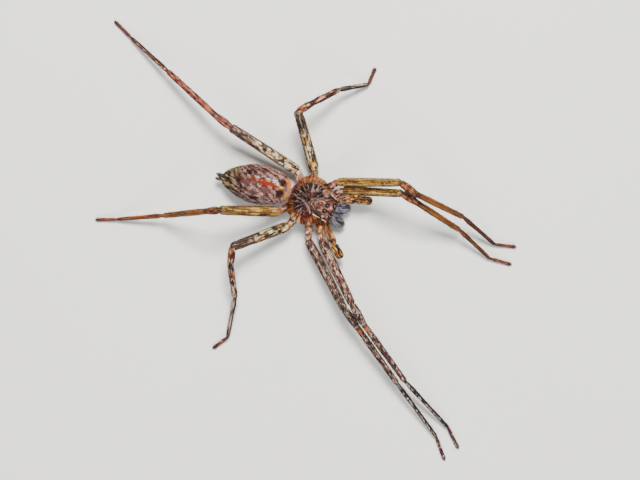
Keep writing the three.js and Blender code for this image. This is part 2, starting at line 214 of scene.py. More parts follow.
def limb_rows(nodes, start):
    """Rows of a limb's centre, half width and half height through all of its nodes, root to tip, and the
    row at which each node begins."""
    rows = []
    begins = []
    for node in nodes:
        found = cross_sections(node, start)
        centres = np.array([ring.mean(0) for ring in found])
        ways = unit(np.gradient(centres, axis=0))
        if rows:
            last = np.array(rows[-1])
            middle = (last[:3] + centres[0]) / 2
            rows.append([*middle, last[3] * JOINT_FOLD, last[4] * JOINT_FOLD])
        begins.append(len(rows))
        for ring, centre, way in zip(found, centres, ways):
            if rows and np.linalg.norm(centre - rows[-1][:3]) < LEAST_STEP:
                continue
            across = unit(np.cross(UP, way))
            spokes = ring - centre
            half_width = math.sqrt(2 * np.mean((spokes @ across) ** 2))
            half_height = math.sqrt(2 * np.mean((spokes @ np.cross(way, across)) ** 2))
            rows.append([*centre, half_width, half_height])
        start = centres[-1]
    return np.array(rows), begins


shield_box = np.array(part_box("carapace")) / MM
HOME = np.array([shield_box[:, 0].mean(), shield_box[1, 1] - SHIELD_REAR, 0.0])


# Forms: closed shapes that the skin is drawn over


def along_shield(points):
    """How far points lie behind the line that the head shield's own length is measured from."""
    return points[:, 1] - HOME[1] + SHIELD_REAR


def body_angle(points, axis_height):
    """The angle of points round a line that runs front to back at this height."""
    return np.arctan2(points[:, 2] - axis_height, HOME[0] - points[:, 0])


class Forms:
    """Triangles of every form, and for each its part, how far along and round the part it lies, and which
    way the part runs there."""

    def __init__(self):
        self.parts = []
        self.points = []
        self.triangles = []
        self.owner = []
        self.along = []
        self.spoke = []
        self.way = []
        self.count = 0

    def part(self, name):
        if name not in self.parts:
            self.parts.append(name)
        return self.parts.index(name)

    def add(self, name, points, triangles, along, angle, way=-AHEAD):
        """Adds a form, with along, angle and way for each of its points, or one for them all."""
        self.points.append(points)
        self.triangles.append(triangles + self.count)
        self.owner.append(np.full(len(triangles), self.part(name)))
        spoke = np.stack([np.cos(angle), np.sin(angle)], -1)
        for kept, values, shape in (
            (self.along, along, ()),
            (self.spoke, spoke, (2,)),
            (self.way, way, (3,)),
        ):
            kept.append(np.broadcast_to(values, (len(points), *shape))[triangles].mean(1))
        self.count += len(points)

    def add_solid(self, node, axis_height):
        """A node as it is packed, measured along and round a line that runs front to back through it."""
        points, triangles = solid(node)
        along = points[:, 1] - points[:, 1].min()
        self.add(node, points, triangles, along, body_angle(points, axis_height))


def grid_triangles(rings, sides):
    """The triangles of a closed tube, whose two end points come after all its rings."""
    i = np.arange(rings - 1)[:, None] * sides
    k = np.arange(sides)[None, :]
    a, b = i + k, i + (k + 1) % sides
    quads = np.stack([a, b, b + sides, a + sides], -1).reshape(-1, 4)
    sheets = [quads[:, [0, 1, 2]], quads[:, [0, 2, 3]]]
    k = np.arange(sides)
    first, last = rings * sides, rings * sides + 1
    end = (rings - 1) * sides
    sheets.append(np.stack([np.full(sides, first), (k + 1) % sides, k], 1))
    sheets.append(np.stack([np.full(sides, last), end + k, end + (k + 1) % sides], 1))
    return np.concatenate(sheets)


def stations_of(rows):
    """How far along its middle line each of a limb's rows lies."""
    gaps = np.linalg.norm(np.diff(rows[:, :3], axis=0), axis=1)
    return np.concatenate([[0], np.cumsum(gaps)])


def rounds(centres, across, over, widths, heights, sides):
    """The points of a closed tube: a round about each centre, and then its two end points."""
    angle = full_turn(sides)
    ring = across[:, None] * (widths[:, None, None] * np.cos(angle)[:, None])
    ring = ring + over[:, None] * (heights[:, None, None] * np.sin(angle)[:, None])
    return np.concatenate([(centres[:, None] + ring).reshape(-1, 3), centres[[0, -1]]])


def limb_tube(rows, sides, step):
    """A smooth closed tube through a limb's rows: points, triangles, distance along, angle and way."""
    stations = stations_of(rows)
    places = np.linspace(0, stations[-1], max(4, int(stations[-1] / step)))
    fine = smooth(stations, rows, places)
    ways = unit(np.gradient(fine[:, :3], axis=0))
    across = unit(np.cross(UP, ways))
    points = rounds(fine[:, :3], across, np.cross(ways, across), fine[:, 3], fine[:, 4], sides)
    along = np.concatenate([np.repeat(places, sides), places[[0, -1]]])
    angles = np.concatenate([np.tile(full_turn(sides), len(places)), [np.pi / 2] * 2])
    way = np.concatenate([np.repeat(ways, sides, 0), ways[[0, -1]]])
    return points, grid_triangles(len(places), sides), along, angles, way


def lengthen_root(rows, by):
    """The same rows with one more before them, so that the limb starts inside what it grows from."""
    way = unit(rows[0, :3] - rows[1, :3])
    first = rows[0].copy()
    first[:3] += way * by
    return np.concatenate([[first], rows])


def ball(centre, radii, turns=10, sides=16):
    """Points and triangles of an egg with its long axes along X, Y and Z."""
    latitude = np.pi * (np.arange(turns) + 1) / (turns + 1)
    longitude = full_turn(sides)
    x = np.sin(latitude)[:, None] * np.cos(longitude)
    y = np.sin(latitude)[:, None] * np.sin(longitude)
    z = np.repeat(-np.cos(latitude)[:, None], sides, 1)
    points = np.stack([x, y, z], -1).reshape(-1, 3)
    points = np.concatenate([points, [[0, 0, -1], [0, 0, 1]]])
    return centre + points * radii, grid_triangles(turns, sides)


forms = Forms()
limbs = {}


def add_limb(name, nodes, start, root=0.0):
    rows, begins = limb_rows(nodes, start)
    rows[:, 3:] -= COAT_DEPTH
    if root:
        rows = lengthen_root(rows, root)
        begins = [b + 1 for b in begins]
    limbs[name] = {"rows": rows, "stations": stations_of(rows), "begins": begins}
    forms.add(name, *limb_tube(rows, LIMB_SIDES, LIMB_STEP))


def add_legs():
    for leg in LEGS:
        add_limb(leg, [f"{leg}_{segment}" for segment in SEGMENTS], HOME + UP * 2.8)


def add_feelers_and_jaws():
    mouth = HOME + AHEAD * 3 + UP * 2.75
    for side in SIDES:
        add_limb(f"palp_{side}", [f"palp_{side}_base", f"palp_{side}_tip"], mouth, root=0.5)
        add_limb(f"chelicera_{side}", [f"chelicera_{side}"], HOME + AHEAD * 4 + UP * 4, root=0.9)


def shield_outline():
    """The head shield's rim, a round of points in plan about its middle."""
    corners, _ = solid("carapace")
    rim = corners[np.abs(corners[:, 2] - RIM_HEIGHT) < 0.02] - HOME
    # near the middle line only the front and rear edges are rim
    inner = np.abs(rim[:, 0]) < 0.3
    rim = rim[~inner | (rim[:, 1] > 3) | (rim[:, 1] < -4)]
    order = np.argsort(np.arctan2(rim[:, 1], rim[:, 0]))
    return rim[order, :2]


# Heights of the lines that the body's parts are measured round
AXIS_HEIGHTS = {"carapace": 4.0, "sternum": 3.2, "spinnerets": 3.1}
# Soft sides between the breast plate and the shield, behind the legs' first joints: height, and how far out
# they reach as a share of the shield's rim
SOFT_SIDES = [(2.75, 0.42), (3.05, 0.6), (3.45, 0.76), (3.85, 0.88), (4.25, 0.95), (4.9, 0.8)]
# Mouth parts between the feelers' roots, as an egg: its middle from the shield's middle, and its radii
MOUTH = [0, -3.2, 2.85], [1.25, 1.3, 0.72]


def add_body():
    for node, height in AXIS_HEIGHTS.items():
        forms.add_solid(node, height)
    add_limb("abdomen", ["abdomen"], HOME + UP * 4, root=1.4)
    sides = 48
    turn = full_turn(sides)
    rim_turn = np.arctan2(outline[:, 1], outline[:, 0])
    reach = np.interp(turn, rim_turn, np.linalg.norm(outline, axis=1), period=2 * np.pi)
    rim = np.stack([np.cos(turn), np.sin(turn)], 1) * reach[:, None]
    rings = [HOME + np.column_stack([rim * share, np.full(sides, height)]) for height, share in SOFT_SIDES]
    ends = [HOME + UP * SOFT_SIDES[i][0] for i in (0, -1)]
    points = np.concatenate([*rings, ends])
    angle = body_angle(points, AXIS_HEIGHTS["carapace"])
    forms.add("sternum", points, grid_triangles(len(rings), sides), along_shield(points), angle)
    middle, radii = MOUTH
    forms.add("sternum", *ball(HOME + middle, radii), 0.0, 0.0)


eyes = {}


def read_eyes():
    for node in sorted(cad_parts):
        if node.startswith("eye_"):
            low, high = np.array(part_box(node)) / MM
            eyes[node] = {"centre": (low + high) / 2, "radius": (high[2] - low[2]) / 2}


# The point inside the head that the eyes look away from, from the shield's middle
BEHIND_EYES = [0, -2.6, 4.2]


def fill_sockets():
    """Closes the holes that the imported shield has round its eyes."""
    for eye in eyes.values():
        inwards = unit(HOME + BEHIND_EYES - eye["centre"])
        middle = eye["centre"] + inwards * eye["radius"] * 0.7
        points, triangles = ball(middle, eye["radius"] + 0.17)
        forms.add("carapace", points, triangles, along_shield(points), np.pi / 2)


outline = shield_outline()
read_eyes()
add_body()
fill_sockets()
add_feelers_and_jaws()
add_legs()


# Skin: one surface over all the forms


def new_mesh(name, points, faces):
    """A mesh from points in millimetres and faces that all have as many corners."""
    mesh = bpy.data.meshes.new(name)
    mesh.vertices.add(len(points))
    mesh.vertices.foreach_set("co", (np.asarray(points) * MM).astype(np.float32).ravel())
    corners = faces.shape[1]
    mesh.loops.add(faces.size)
    mesh.loops.foreach_set("vertex_index", faces.astype(np.int32).ravel())
    mesh.polygons.add(len(faces))
    mesh.polygons.foreach_set("loop_start", np.arange(0, faces.size, corners, dtype=np.int32))
    mesh.update(calc_edges=True)
    mesh.validate()
    return mesh


def new_piece(name, mesh, material):
    piece = bpy.data.objects.new(name, mesh)
    bpy.context.scene.collection.objects.link(piece)
    mesh.materials.append(material)
    return piece


def draw_skin():
    """The outer surface of all the forms together, as one even net of four-cornered faces."""
    all_points = np.concatenate(forms.points)
    triangles = np.concatenate(forms.triangles)
    mesh = new_mesh("forms", all_points / MM, triangles)
    shape = bpy.data.objects.new("forms", mesh)
    bpy.context.scene.collection.objects.link(shape)
    remesh = shape.modifiers.new("skin", "REMESH")
    remesh.mode = "VOXEL"
    remesh.voxel_size = SKIN_VOXEL
    done = shape.evaluated_get(bpy.context.evaluated_depsgraph_get()).to_mesh()
    points = np.empty(len(done.vertices) * 3)
    done.vertices.foreach_get("co", points)
    faces = np.empty(len(done.loops), int)
    done.loops.foreach_get("vertex_index", faces)
    points = points.reshape(-1, 3)
    faces = faces.reshape(-1, 4)
    bpy.data.objects.remove(shape)
    tree = BVHTree.FromPolygons(all_points.tolist(), triangles.tolist())
    nearest = np.array([tree.find_nearest(p)[2] for p in points])
    return points, faces, nearest


def edges_of(faces):
    pairs = np.concatenate([faces[:, [0, 1]], faces[:, [1, 2]], faces[:, [2, 3]], faces[:, [3, 0]]])
    return np.unique(np.sort(pairs, axis=1), axis=0)


def relax(points, edges, weight, rounds):
    """Moves each point towards the middle of its neighbours by its weight, a number of rounds."""
    n = len(points)
    a, b = edges[:, 0], edges[:, 1]
    count = np.maximum(np.bincount(a, minlength=n) + np.bincount(b, minlength=n), 1)
    for _ in range(rounds):
        total = np.empty_like(points)
        for c in range(points.shape[1]):
            total[:, c] = np.bincount(a, points[b, c], n) + np.bincount(b, points[a, c], n)
        points = points + weight[:, None] * (total / count[:, None] - points)
    return points


def normals_of(points, faces):
    """Which way the surface faces at each point."""
    across = np.cross(points[faces[:, 2]] - points[faces[:, 0]], points[faces[:, 3]] - points[faces[:, 1]])
    total = np.empty_like(points)
    for c in range(3):
        total[:, c] = sum(np.bincount(faces[:, k], across[:, c], len(points)) for k in range(4))
    return unit(total)


skin_points, skin_faces, nearest = draw_skin()
skin_edges = edges_of(skin_faces)
owner = np.concatenate(forms.owner)[nearest]
part_names = np.array(forms.parts)
along = np.concatenate(forms.along)[nearest]
spoke = unit(np.concatenate(forms.spoke)[nearest])
angle = np.arctan2(spoke[:, 1], spoke[:, 0])
way = unit(np.concatenate(forms.way)[nearest])


def of(*names):
    """Which points of the skin belong to these parts."""
    return np.isin(part_names[owner], names)


# Weights of the two halves of a round of smoothing
SHRINK = 0.5
SWELL = -0.53


def smooth_skin():
    """Takes the net's steps out of the skin, and the solids' flat faces out of the head and abdomen."""
    points = skin_points
    every = np.ones(len(points))
    # the first half of each round shrinks the skin a little, and the second swells it back
    for _ in range(5):
        points = relax(points, skin_edges, SHRINK * every, 1)
        points = relax(points, skin_edges, SWELL * every, 1)
    plump = relax(of("abdomen", "carapace")[:, None].astype(float), skin_edges, 0.5 * every, 6)[:, 0]
    return relax(points, skin_edges, 0.5 * plump, 14)


skin_points = smooth_skin()
skin_normals = normals_of(skin_points, skin_faces)


# Relief of the skin

# Places on the head shield in plan from its middle: the pit, and the grooves that run from it
PIT = [(0.0, 0.35), (0.0, 1.25)]
HEAD_GROOVE = [(0.12, 0.45), (0.93, -0.6), (1.93, -2.95)]
SIDE_GROOVES = [((0.35, 0.6), (3.2, -0.9)), ((0.4, 0.9), (3.6, 1.1)), ((0.3, 1.3), (2.6, 2.7))]


def plan(points):
    return (points - HOME)[:, :2]


def mirrored(places):
    return np.stack([np.abs(places[:, 0]), places[:, 1]], 1)


def groove_distance(places):
    """How far places in plan are from the two dark grooves beside the head."""
    return path_distance(mirrored(places), HEAD_GROOVE)


def rim_distance(places):
    """How far places in plan lie inside the head shield's rim."""
    return path_distance(places, np.concatenate([outline, outline[:1]]))


def shield_relief(points):
    """The shield's pit, grooves and unevenness, in mm out of the skin."""
    places = plan(points)
    half = mirrored(places)
    depth = 0.24 * bell(line_distance(places, *PIT), 0.2)
    depth += 0.09 * bell(groove_distance(places), 0.13)
    for a, b in SIDE_GROOVES:
        depth += 0.07 * bell(line_distance(half, a, b), 0.2)
    swell = 0.05 * noise(points / 0.9, 3) + 0.03 * noise(points / 0.35, 4)
    return swell - depth


# The abdomen is rolled a little, so its heart mark lies this far to the left of the top at these distances
MARK_LINE = ([0, 2.0, 7.0, 9.4, 13], [0.15, 0.25, 0.72, 0.8, 0.5])


def abdomen_frame(along, angle):
    """Distance along the abdomen, and distances round it to the left of its top and of its heart mark."""
    stations = limbs["abdomen"]["stations"]
    run = along - stations[1]
    half_width = np.interp(along, stations, limbs["abdomen"]["rows"][:, 3])
    left = (angle - np.pi / 2) * half_width
    left = np.where(angle < -np.pi / 2, (angle + 1.5 * np.pi) * half_width, left)
    return run, left, left - np.interp(run, *MARK_LINE)


# Paired pits on the back: distance along the abdomen and to each side, in millimetres
BACK_PITS = [(3.2, 0.75), (4.9, 0.95), (6.6, 1.05)]


def abdomen_relief(points):
    """The abdomen's paired pits, fine folds towards the rear and unevenness, in mm out of the skin."""
    run, _, aside = abdomen_frame(along, angle)
    depth = np.zeros(len(points))
    for at, out in BACK_PITS:
        depth += 0.1 * bell(np.hypot(run - at, np.abs(aside) - out), 0.2)
    folds = 0.035 * np.sin(run * 2 * np.pi / 0.55 + 2 * noise(points / 1.5, 5)) * ramp(run, 8.5, 11)
    swell = 0.09 * noise(points / 0.8, 6) + 0.05 * noise(points / 0.3, 7)
    return swell - 0.07 - depth + folds


def seat_eyes(points):
    """Raises a low round lip about each eye and lets the skin fall away under its lens."""
    points = points.copy()
    head = of("carapace")
    # lip, hollow and share are worked out in radii of the eye from the line that it looks along
    for eye in eyes.values():
        radius = eye["radius"]
        from_eye = points - eye["centre"]
        around = np.linalg.norm(from_eye, axis=1)
        near = head & (around < 3 * radius)
        look = unit((skin_normals[near] * bell(around[near], 2 * radius)[:, None]).sum(0))
        eye["look"] = look
        height = from_eye @ look
        out = np.linalg.norm(from_eye - height[:, None] * look, axis=1) / radius
        lip = 0.3 * bell(out - 1.12, 0.4)
        hollow = 0.5 * fade(out, 0.7, 1)
        level = radius * (0.05 + lip - hollow)
        share = fade(out, 1.25, 1.9) * (np.abs(height) < 3 * radius) * head
        points += ((level - height) * share)[:, None] * look
    return points


# Pimples of the skin away from shield and abdomen: their height and size in mm
PIMPLES = 0.03, 0.3


def carve_skin():
    relief = np.where(of("carapace"), shield_relief(skin_points), 0.0)
    relief = np.where(of("abdomen"), abdomen_relief(skin_points), relief)
    height, size = PIMPLES
    pimples = height * (noise(skin_points / size, 8) - 0.5)
    relief = np.where(of("carapace", "abdomen"), relief, pimples)
    points = seat_eyes(skin_points + skin_normals * relief[:, None])
    points[:, 2] = np.maximum(points[:, 2], 0.0)
    return points


skin_points = carve_skin()
skin_normals = normals_of(skin_points, skin_faces)


# Markings and hair

# Hair where a part's own pattern doesn't change it: length and width in mm, lift in degrees, and shares
HAIR = {
    "length": 0.36,
    "width": 0.045,
    "lift": 18.0,
    "crowd": 1.0,
    "pale": 0.12,
    "dark": 0.12,
    "stray": 1.0,
}
# The coat shades itself, so each hair is deeper than the animal's colour as a whole
HAIR_DEPTH = 1.35


class Ground:
    """Places on the skin, with the colour and the hair that each is given."""

    def __init__(self, points, normals, owner, along, spoke, way):
        self.points = points
        self.normals = normals
        self.parts = part_names[owner]
        self.along = along
        self.angle = np.arctan2(spoke[:, 1], spoke[:, 0])
        self.way = way
        self.tint = np.zeros((len(points), 3))
        self.lie = way.copy()
        self.hair = {name: np.full(len(points), value) for name, value in HAIR.items()}


class Patch:
    """The places of a ground that belong to one part, while they are given their colours and hair."""

    def __init__(self, ground, *names):
        self.ground = ground
        self.which = np.flatnonzero(np.isin(ground.parts, names))
        self.points = ground.points[self.which]
        self.plan = plan(self.points)
        self.height = self.points[:, 2]
        self.along = ground.along[self.which]
        self.angle = ground.angle[self.which]
        self.radius = 1.0
        self.tint = np.zeros((len(self.which), 3))

    def paint(self, hex_code, amount=1.0):
        """Lays a colour over the patch, as thickly as amount says at each point."""
        cover = np.broadcast_to(amount, len(self.which))[:, None]
        self.tint += cover * (colour(hex_code) - self.tint)

    def strokes(self, length, width, seed, low, high):
        """Broken strokes of this length and width along the patch, from 0 to 1 between two heights."""
        return ramp(dashes(self.along, self.angle * self.radius, length, width, seed), low, high)

    def spot(self, x, y, radius_x, radius_y):
        """1 inside an oval about x = y = 0, with an edge that wavers a little."""
        inside = np.zeros(len(self.which))
        near = np.flatnonzero((np.abs(x) < 1.5 * radius_x) & (np.abs(y) < 1.5 * radius_y))
        waver = 0.35 * (noise(self.points[near] / 0.35, 21) - 0.5)
        inside[near] = fade(np.hypot(x[near] / radius_x, y[near] / radius_y) - waver, 0.8, 1.15)
        return inside

    def grain(self, size, seed, low, high):
        """Blotches of about this size in mm, from 0 to 1."""
        return ramp(noise(self.points / size, seed), low, high)

    def comb(self, where=None, lay=None, **values):
        """Gives the hair of the patch, or of some of its points, its direction, length and so on."""
        where = np.ones(len(self.which), bool) if where is None else where
        picks = self.which[where]
        if lay is not None:
            self.ground.lie[picks] = np.broadcast_to(lay, (len(self.which), 3))[where]
        for name, value in values.items():
            self.ground.hair[name][picks] = np.broadcast_to(value, len(self.which))[where]

    def finish(self):
        self.ground.tint[self.which] = np.clip(self.tint, 0, 1) ** HAIR_DEPTH


# Pale strands along the cheeks, from the shield's sides down over the jaws' roots: places in mm
CHEEKS = [
    [
        (3.4, -0.4, 5.5), (3.17, -1.09, 5.57), (2.74, -2.67, 4.78),
        (2.17, -3.83, 5.0), (2.1, -4.7, 4.3), (2.15, -5.6, 3.6),
    ],
    [
        (-1.93, -1.32, 6.13), (-2.04, -2.63, 5.75), (-2.05, -3.64, 5.31),
        (-1.85, -4.7, 4.5), (-1.8, -5.5, 3.8),
    ],
]  # fmt: skip


def draw_cheeks(patch):
    """Lays the pale strands over a patch of the head."""
    places = patch.points - HOME
    for cheek in CHEEKS:
        for a, b in stretches(cheek):
            gap = line_distance(places, a, b)
            patch.paint("#FFF0D4", fade(gap, 0.07, 0.12))
            lay = unit(np.subtract(b, a))
            patch.comb(gap < 0.3, lay=lay, length=0.4, lift=5, stray=0.0, pale=0.0, dark=0.0)
            patch.comb(gap < 0.1, crowd=2.5, lift=12)


# A line of pale hair that curves past the pit on the right
PALE_ARC = [(-0.2, 2.85), (-0.42, 1.9), (-0.43, 1.05), (-0.95, 0.1), (-1.82, -0.75)]


def head_share(x, y):
    """1 on the head, between the two grooves."""
    groove_x, groove_y = np.transpose(HEAD_GROOVE[::-1])
    edge = np.interp(y, groove_y, groove_x)
    return ramp(edge - np.abs(x), -0.06, 0.06) * fade(y, -0.1, 0.4)


def dress_shield(ground):
    shield = Patch(ground, "carapace")
    paint, spot = shield.paint, shield.spot
    x, y = shield.plan.T
    half = mirrored(shield.plan)
    away = rim_distance(shield.plan)
    grooves = groove_distance(shield.plan)
    reach = np.hypot(x, y - 0.7)
    fan = 3.0 * np.arctan2(x, y)
    rays = streaks(reach, fan, 1.3, 0.3, 31)
    fine = streaks(reach, fan, 0.8, 0.14, 32)
    flames = dashes(reach, fan, 0.9, 0.42, 36)
    paint("#7A3828")
    paint("#8E4630", ramp(rays, 0.45, 0.65) * 0.8)
    paint("#30141A", shield.grain(0.7, 33, 0.4, 0.7) * 0.6)
    # near-black maroon behind and beside the pit, crossed by thin pale lines of hair
    for at_x, at_y, wide, long in ((1.5, 2.0, 1.35, 1.2), (-1.6, 1.7, 1.5, 1.35), (0.0, 2.4, 1.6, 0.8)):
        paint("#34040C", spot(x - at_x, y - at_y, wide, long) * 0.92)
    paint("#0E0408", fade(fine, 0.33, 0.4) * 0.8 * ramp(away, 0.9, 1.3))
    paint("#D8B8B4", ramp(fine, 0.69, 0.75) * 0.75 * ramp(away, 1.0, 1.4))
    # greyish hair beside the left groove
    grey = spot(x - 2.2, y + 0.3, 1.3, 1.7)
    paint("#6A4640", grey * 0.85)
    paint("#241216", grey * fade(fine, 0.4, 0.47) * 0.85)
    paint("#E0CCC4", grey * ramp(fine, 0.6, 0.66) * 0.8)
    # the head between the grooves
    head = head_share(x, y)
    paint("#64301F", head * 0.95)
    paint("#8A5644", head * fade(y, -2.8, -1.6) * 0.8)
    paint("#2A0C0C", head * ramp(streaks(reach, fan, 0.9, 0.16, 34), 0.5, 0.58) * 0.85)
    paint("#E8B498", head * ramp(streaks(reach, fan, 0.6, 0.14, 35), 0.66, 0.72) * 0.8)
    # rim: orange-brown flames with cream tips, on the right side above all
    rim = fade(away, 0.75, 1.2) * fade(y, 2.3, 3.1) * ramp(y, -3.1, -2.3)
    paint("#A4582C", rim * 0.85)
    paint("#4A1610", rim * fade(flames, -0.2, 0.0) * 0.8)
    paint("#D08C40", rim * ramp(flames, 0.1, 0.2) * 0.85)
    tips = ramp(flames, 0.32, 0.4) * fade(away, 0.6, 1.0) * fade(y, 1.6, 2.2) * ramp(y, -1.6, -1.0)
    paint("#FFECC4", tips * np.where(x < 0, 0.95, 0.3))
    # pinkish grey between the left groove and the rim
    cheek = spot(x - 2.4, y + 2.0, 0.7, 0.9)
    paint("#B89488", cheek * 0.85)
    paint("#F4E0D0", cheek * ramp(fine, 0.55, 0.62) * 0.8)
    # rear edge: dark red with tan flames, mauve at its very end
    paint("#7A2E20", ramp(y, 2.75, 3.2) * 0.9)
    paint("#C88244", ramp(y, 2.3, 2.6) * ramp(np.abs(x), 1.0, 1.6) * ramp(flames, 0.05, 0.15) * 0.85)
    paint("#9A7A90", ramp(y, 3.35, 3.6) * 0.75)
    for a, b in stretches(PALE_ARC):
        paint("#D8C8C4", bell(line_distance(shield.plan, a, b), 0.1) * 0.7)
    # grooves, pit and the lines along the head
    paint("#080406", bell(grooves, 0.14) * fade(y, -0.4, 0.2))
    paint("#12060A", bell(line_distance(shield.plan, *PIT), 0.3) * 0.95)
    paint("#1A0A0C", bell(line_distance(shield.plan, (0.0, 0.4), (-0.05, -2.3)), 0.09) * 0.9)
    paint("#14080A", bell(line_distance(half, (0.15, 0.1), (0.62, -2.2)), 0.08) * 0.85)
    paint("#F0D2A8", bell(line_distance(half, (0.85, -1.9), (0.72, -2.5)), 0.08) * 0.8)
    # face: dark about the front eyes, paler over the jaws
    paint("#2A1414", fade(y, -4.4, -4.0) * 0.9)
    lip = fade(y, -4.6, -4.4) * fade(shield.height, 4.75, 4.95)
    paint("#B8845C", lip * 0.9)

    out = unit(np.column_stack([shield.plan - [0.0, 0.6], np.zeros(len(x))]))
    forward = 0.9 * fade(away, 0.4, 1.6) * fade(y, 0.5, 2.2)
    lay = unit(out + forward[:, None] * AHEAD)
    shield.comb(lay=lay, length=0.36, lift=14, pale=0.03, dark=0.1, stray=0.6)
    shield.comb((half[:, 0] < 2) & (head > 0.5), lay=AHEAD, length=0.2, crowd=0.35, width=0.028, pale=0.05)
    shield.comb(away < 1.1, length=0.75, lift=20, pale=0.1)
    shield.comb(y > 2.9, length=0.32)
    shield.comb((grooves < 0.1) & (y < 0.3), crowd=0.0)
    shield.comb(lip > 0.5, lay=AHEAD * 0.6 - UP, length=0.3, crowd=1.0, width=0.03)
    for eye in eyes.values():
        gap = np.linalg.norm(shield.points - eye["centre"], axis=1) / eye["radius"]
        paint("#0A0608", fade(gap, 1.3, 1.9) * 0.95)
        shield.comb(gap < 1.55, crowd=0.0)
        shield.comb(gap < 3.0, length=0.16)
    draw_cheeks(shield)
    shield.finish()


# Marks on the abdomen: distance along it, distance round it to the left of its top, half length and half
# width in mm, and colour
BACK_SPOTS = [
    (1.8, 1.1, 0.74, 0.58, "#34060E"), (1.9, -0.96, 0.74, 0.56, "#40060E"),
    (7.5, 2.0, 0.55, 0.36, "#2A1416"), (8.0, -1.3, 0.9, 0.42, "#2E181A"),
    (8.9, 0.1, 0.4, 0.25, "#2A1A18"), (11.0, 1.1, 0.36, 0.42, "#14100E"),
    (11.1, -0.25, 0.4, 0.34, "#14100E"), (12.0, 0.5, 0.3, 0.5, "#1E1612"),
    (9.2, -3.6, 0.5, 0.4, "#241A1C"), (5.3, 3.4, 0.8, 0.3, "#301C20"),
    (6.0, -2.9, 0.9, 0.25, "#301C24"), (8.6, 0.6, 0.7, 0.2, "#8A5034"),
    (9.4, 1.1, 0.6, 0.2, "#8A5A34"),
]  # fmt: skip
# How far the abdomen's strokes and hair slant to the left towards the rear
SLANT = 0.36


def dress_abdomen(ground):
    body = Patch(ground, "abdomen")
    paint, spot = body.paint, body.spot
    run, left, aside = abdomen_frame(body.along, body.angle)
    out = np.abs(left)
    # fine straight strokes, pale and dark by turns
    lengthwise, crosswise = run + SLANT * left, left - SLANT * run
    pale = dashes(lengthwise, crosswise, 1.5, 0.5, 42, 1.8)
    dark = dashes(lengthwise, crosswise + 0.25, 1.5, 0.5, 42, 1.2)
    broad = noise(np.stack([run / 1.6, left / 1.1], 1), 46)
    rear = ramp(run + 0.5 * (broad - 0.5), 8.0, 10.5)
    paint("#906A64")
    paint("#74504E", ramp(broad, 0.45, 0.75) * 0.4)
    paint("#A4746C", ramp(left, 1.6, 3.0) * fade(run, 5.0, 8.0) * 0.6)
    paint("#AC9A9C", fade(left, -3.0, -1.7) * 0.7)
    paint("#6E5E4C", rear * 0.8)
    paint("#34101A", ramp(dark, 0.0, 0.12) * 0.85)
    paint("#2A221E", ramp(dark, 0.0, 0.12) * rear * 0.9)
    paint("#E8C4B8", ramp(pale, 0.14, 0.22) * 0.85)
    paint("#C0AC84", ramp(pale, 0.14, 0.22) * rear * 0.9)
    body.tint *= np.interp(run, [2, 3.5, 7, 9, 12], [1.1, 1.05, 0.9, 0.88, 0.95])[:, None]
    # tan front rim, orange at its left and golden at its right, with a mauve saddle
    front = fade(run + 0.25 * out, 1.15, 1.75)
    paint("#D8AC84", front * 0.94)
    paint("#8A5434", front * ramp(dark, 0.3, 0.4) * 0.6)
    paint("#E8924C", front * spot(left - 1.5, run - 0.8, 1.1, 0.7) * 0.8)
    paint("#DCB868", front * spot(left + 1.6, run - 1.2, 0.8, 0.6) * 0.8)
    paint("#7E6272", spot(left - 0.1, run - 1.15, 0.72, 0.36) * 0.85)
    for at, side, long, wide, code in BACK_SPOTS:
        paint(code, spot(left - side, run - at, wide, long) * 0.9)
    # white hair along the left of the red heart mark, and its yellow point
    at = np.clip((run - 2.2) / 5.6, 0, 1)
    mark_edge = 0.5 * np.sin(np.pi * at**0.7) ** 0.75
    beside = np.where(aside > 0, aside, 0.5 - aside) - mark_edge
    border = fade(np.abs(beside - 0.16), 0.09, 0.15) * ramp(run, 2.0, 2.4) * fade(run, 5.4, 6.6)
    border *= ramp(dashes(run, left, 0.5, 0.3, 44), -0.2, -0.1)
    border = np.maximum(border, spot(aside - 0.2, run - 2.5, 0.32, 0.32))
    paint("#FFFFFF", border)
    mark = ramp(mark_edge - np.abs(aside + 0.04), -0.04, 0.05) * (run > 2.2) * (run < 7.8)
    paint("#B8500F", mark)
    paint("#A05A34", mark * ramp(run, 6.0, 7.4) * 0.7)
    paint("#7A2410", mark * ramp(np.abs(aside) - mark_edge, -0.12, -0.02) * 0.5)
    point = spot(aside, run - 1.85, 0.32, 0.36)
    paint("#FFD400", point)

    ahead = ground.way[body.which]
    towards_left = unit(np.cross(ahead, ground.normals[body.which]))
    body.comb(lay=unit(ahead + SLANT * towards_left), length=0.46, lift=10, pale=0.0, dark=0.03, stray=0.12)
    bright = (mark > 0.3) | (border > 0.3) | (point > 0.3)
    beside_mark = (np.abs(aside) < mark_edge + 0.7) & (run > 1.2) & (run < 8)
    body.comb(beside_mark, lay=unit(ahead + 0.1 * towards_left), length=0.3)
    body.comb(bright, crowd=1.8, length=0.36, lift=13, pale=0.0, dark=0.0, stray=0.0)
    body.comb(run < 0.4, crowd=0.3)
    body.finish()


# Which pattern each leg has
LEG_LOOKS = {
    "leg_left_1": "golden",
    "leg_left_2": "golden",
    "leg_right_4": "golden",
    "leg_left_3": "spotted",
    "leg_right_3": "spotted",
    "leg_left_4": "freckled",
    "leg_right_1": "streaked",
    "leg_right_2": "streaked",
}
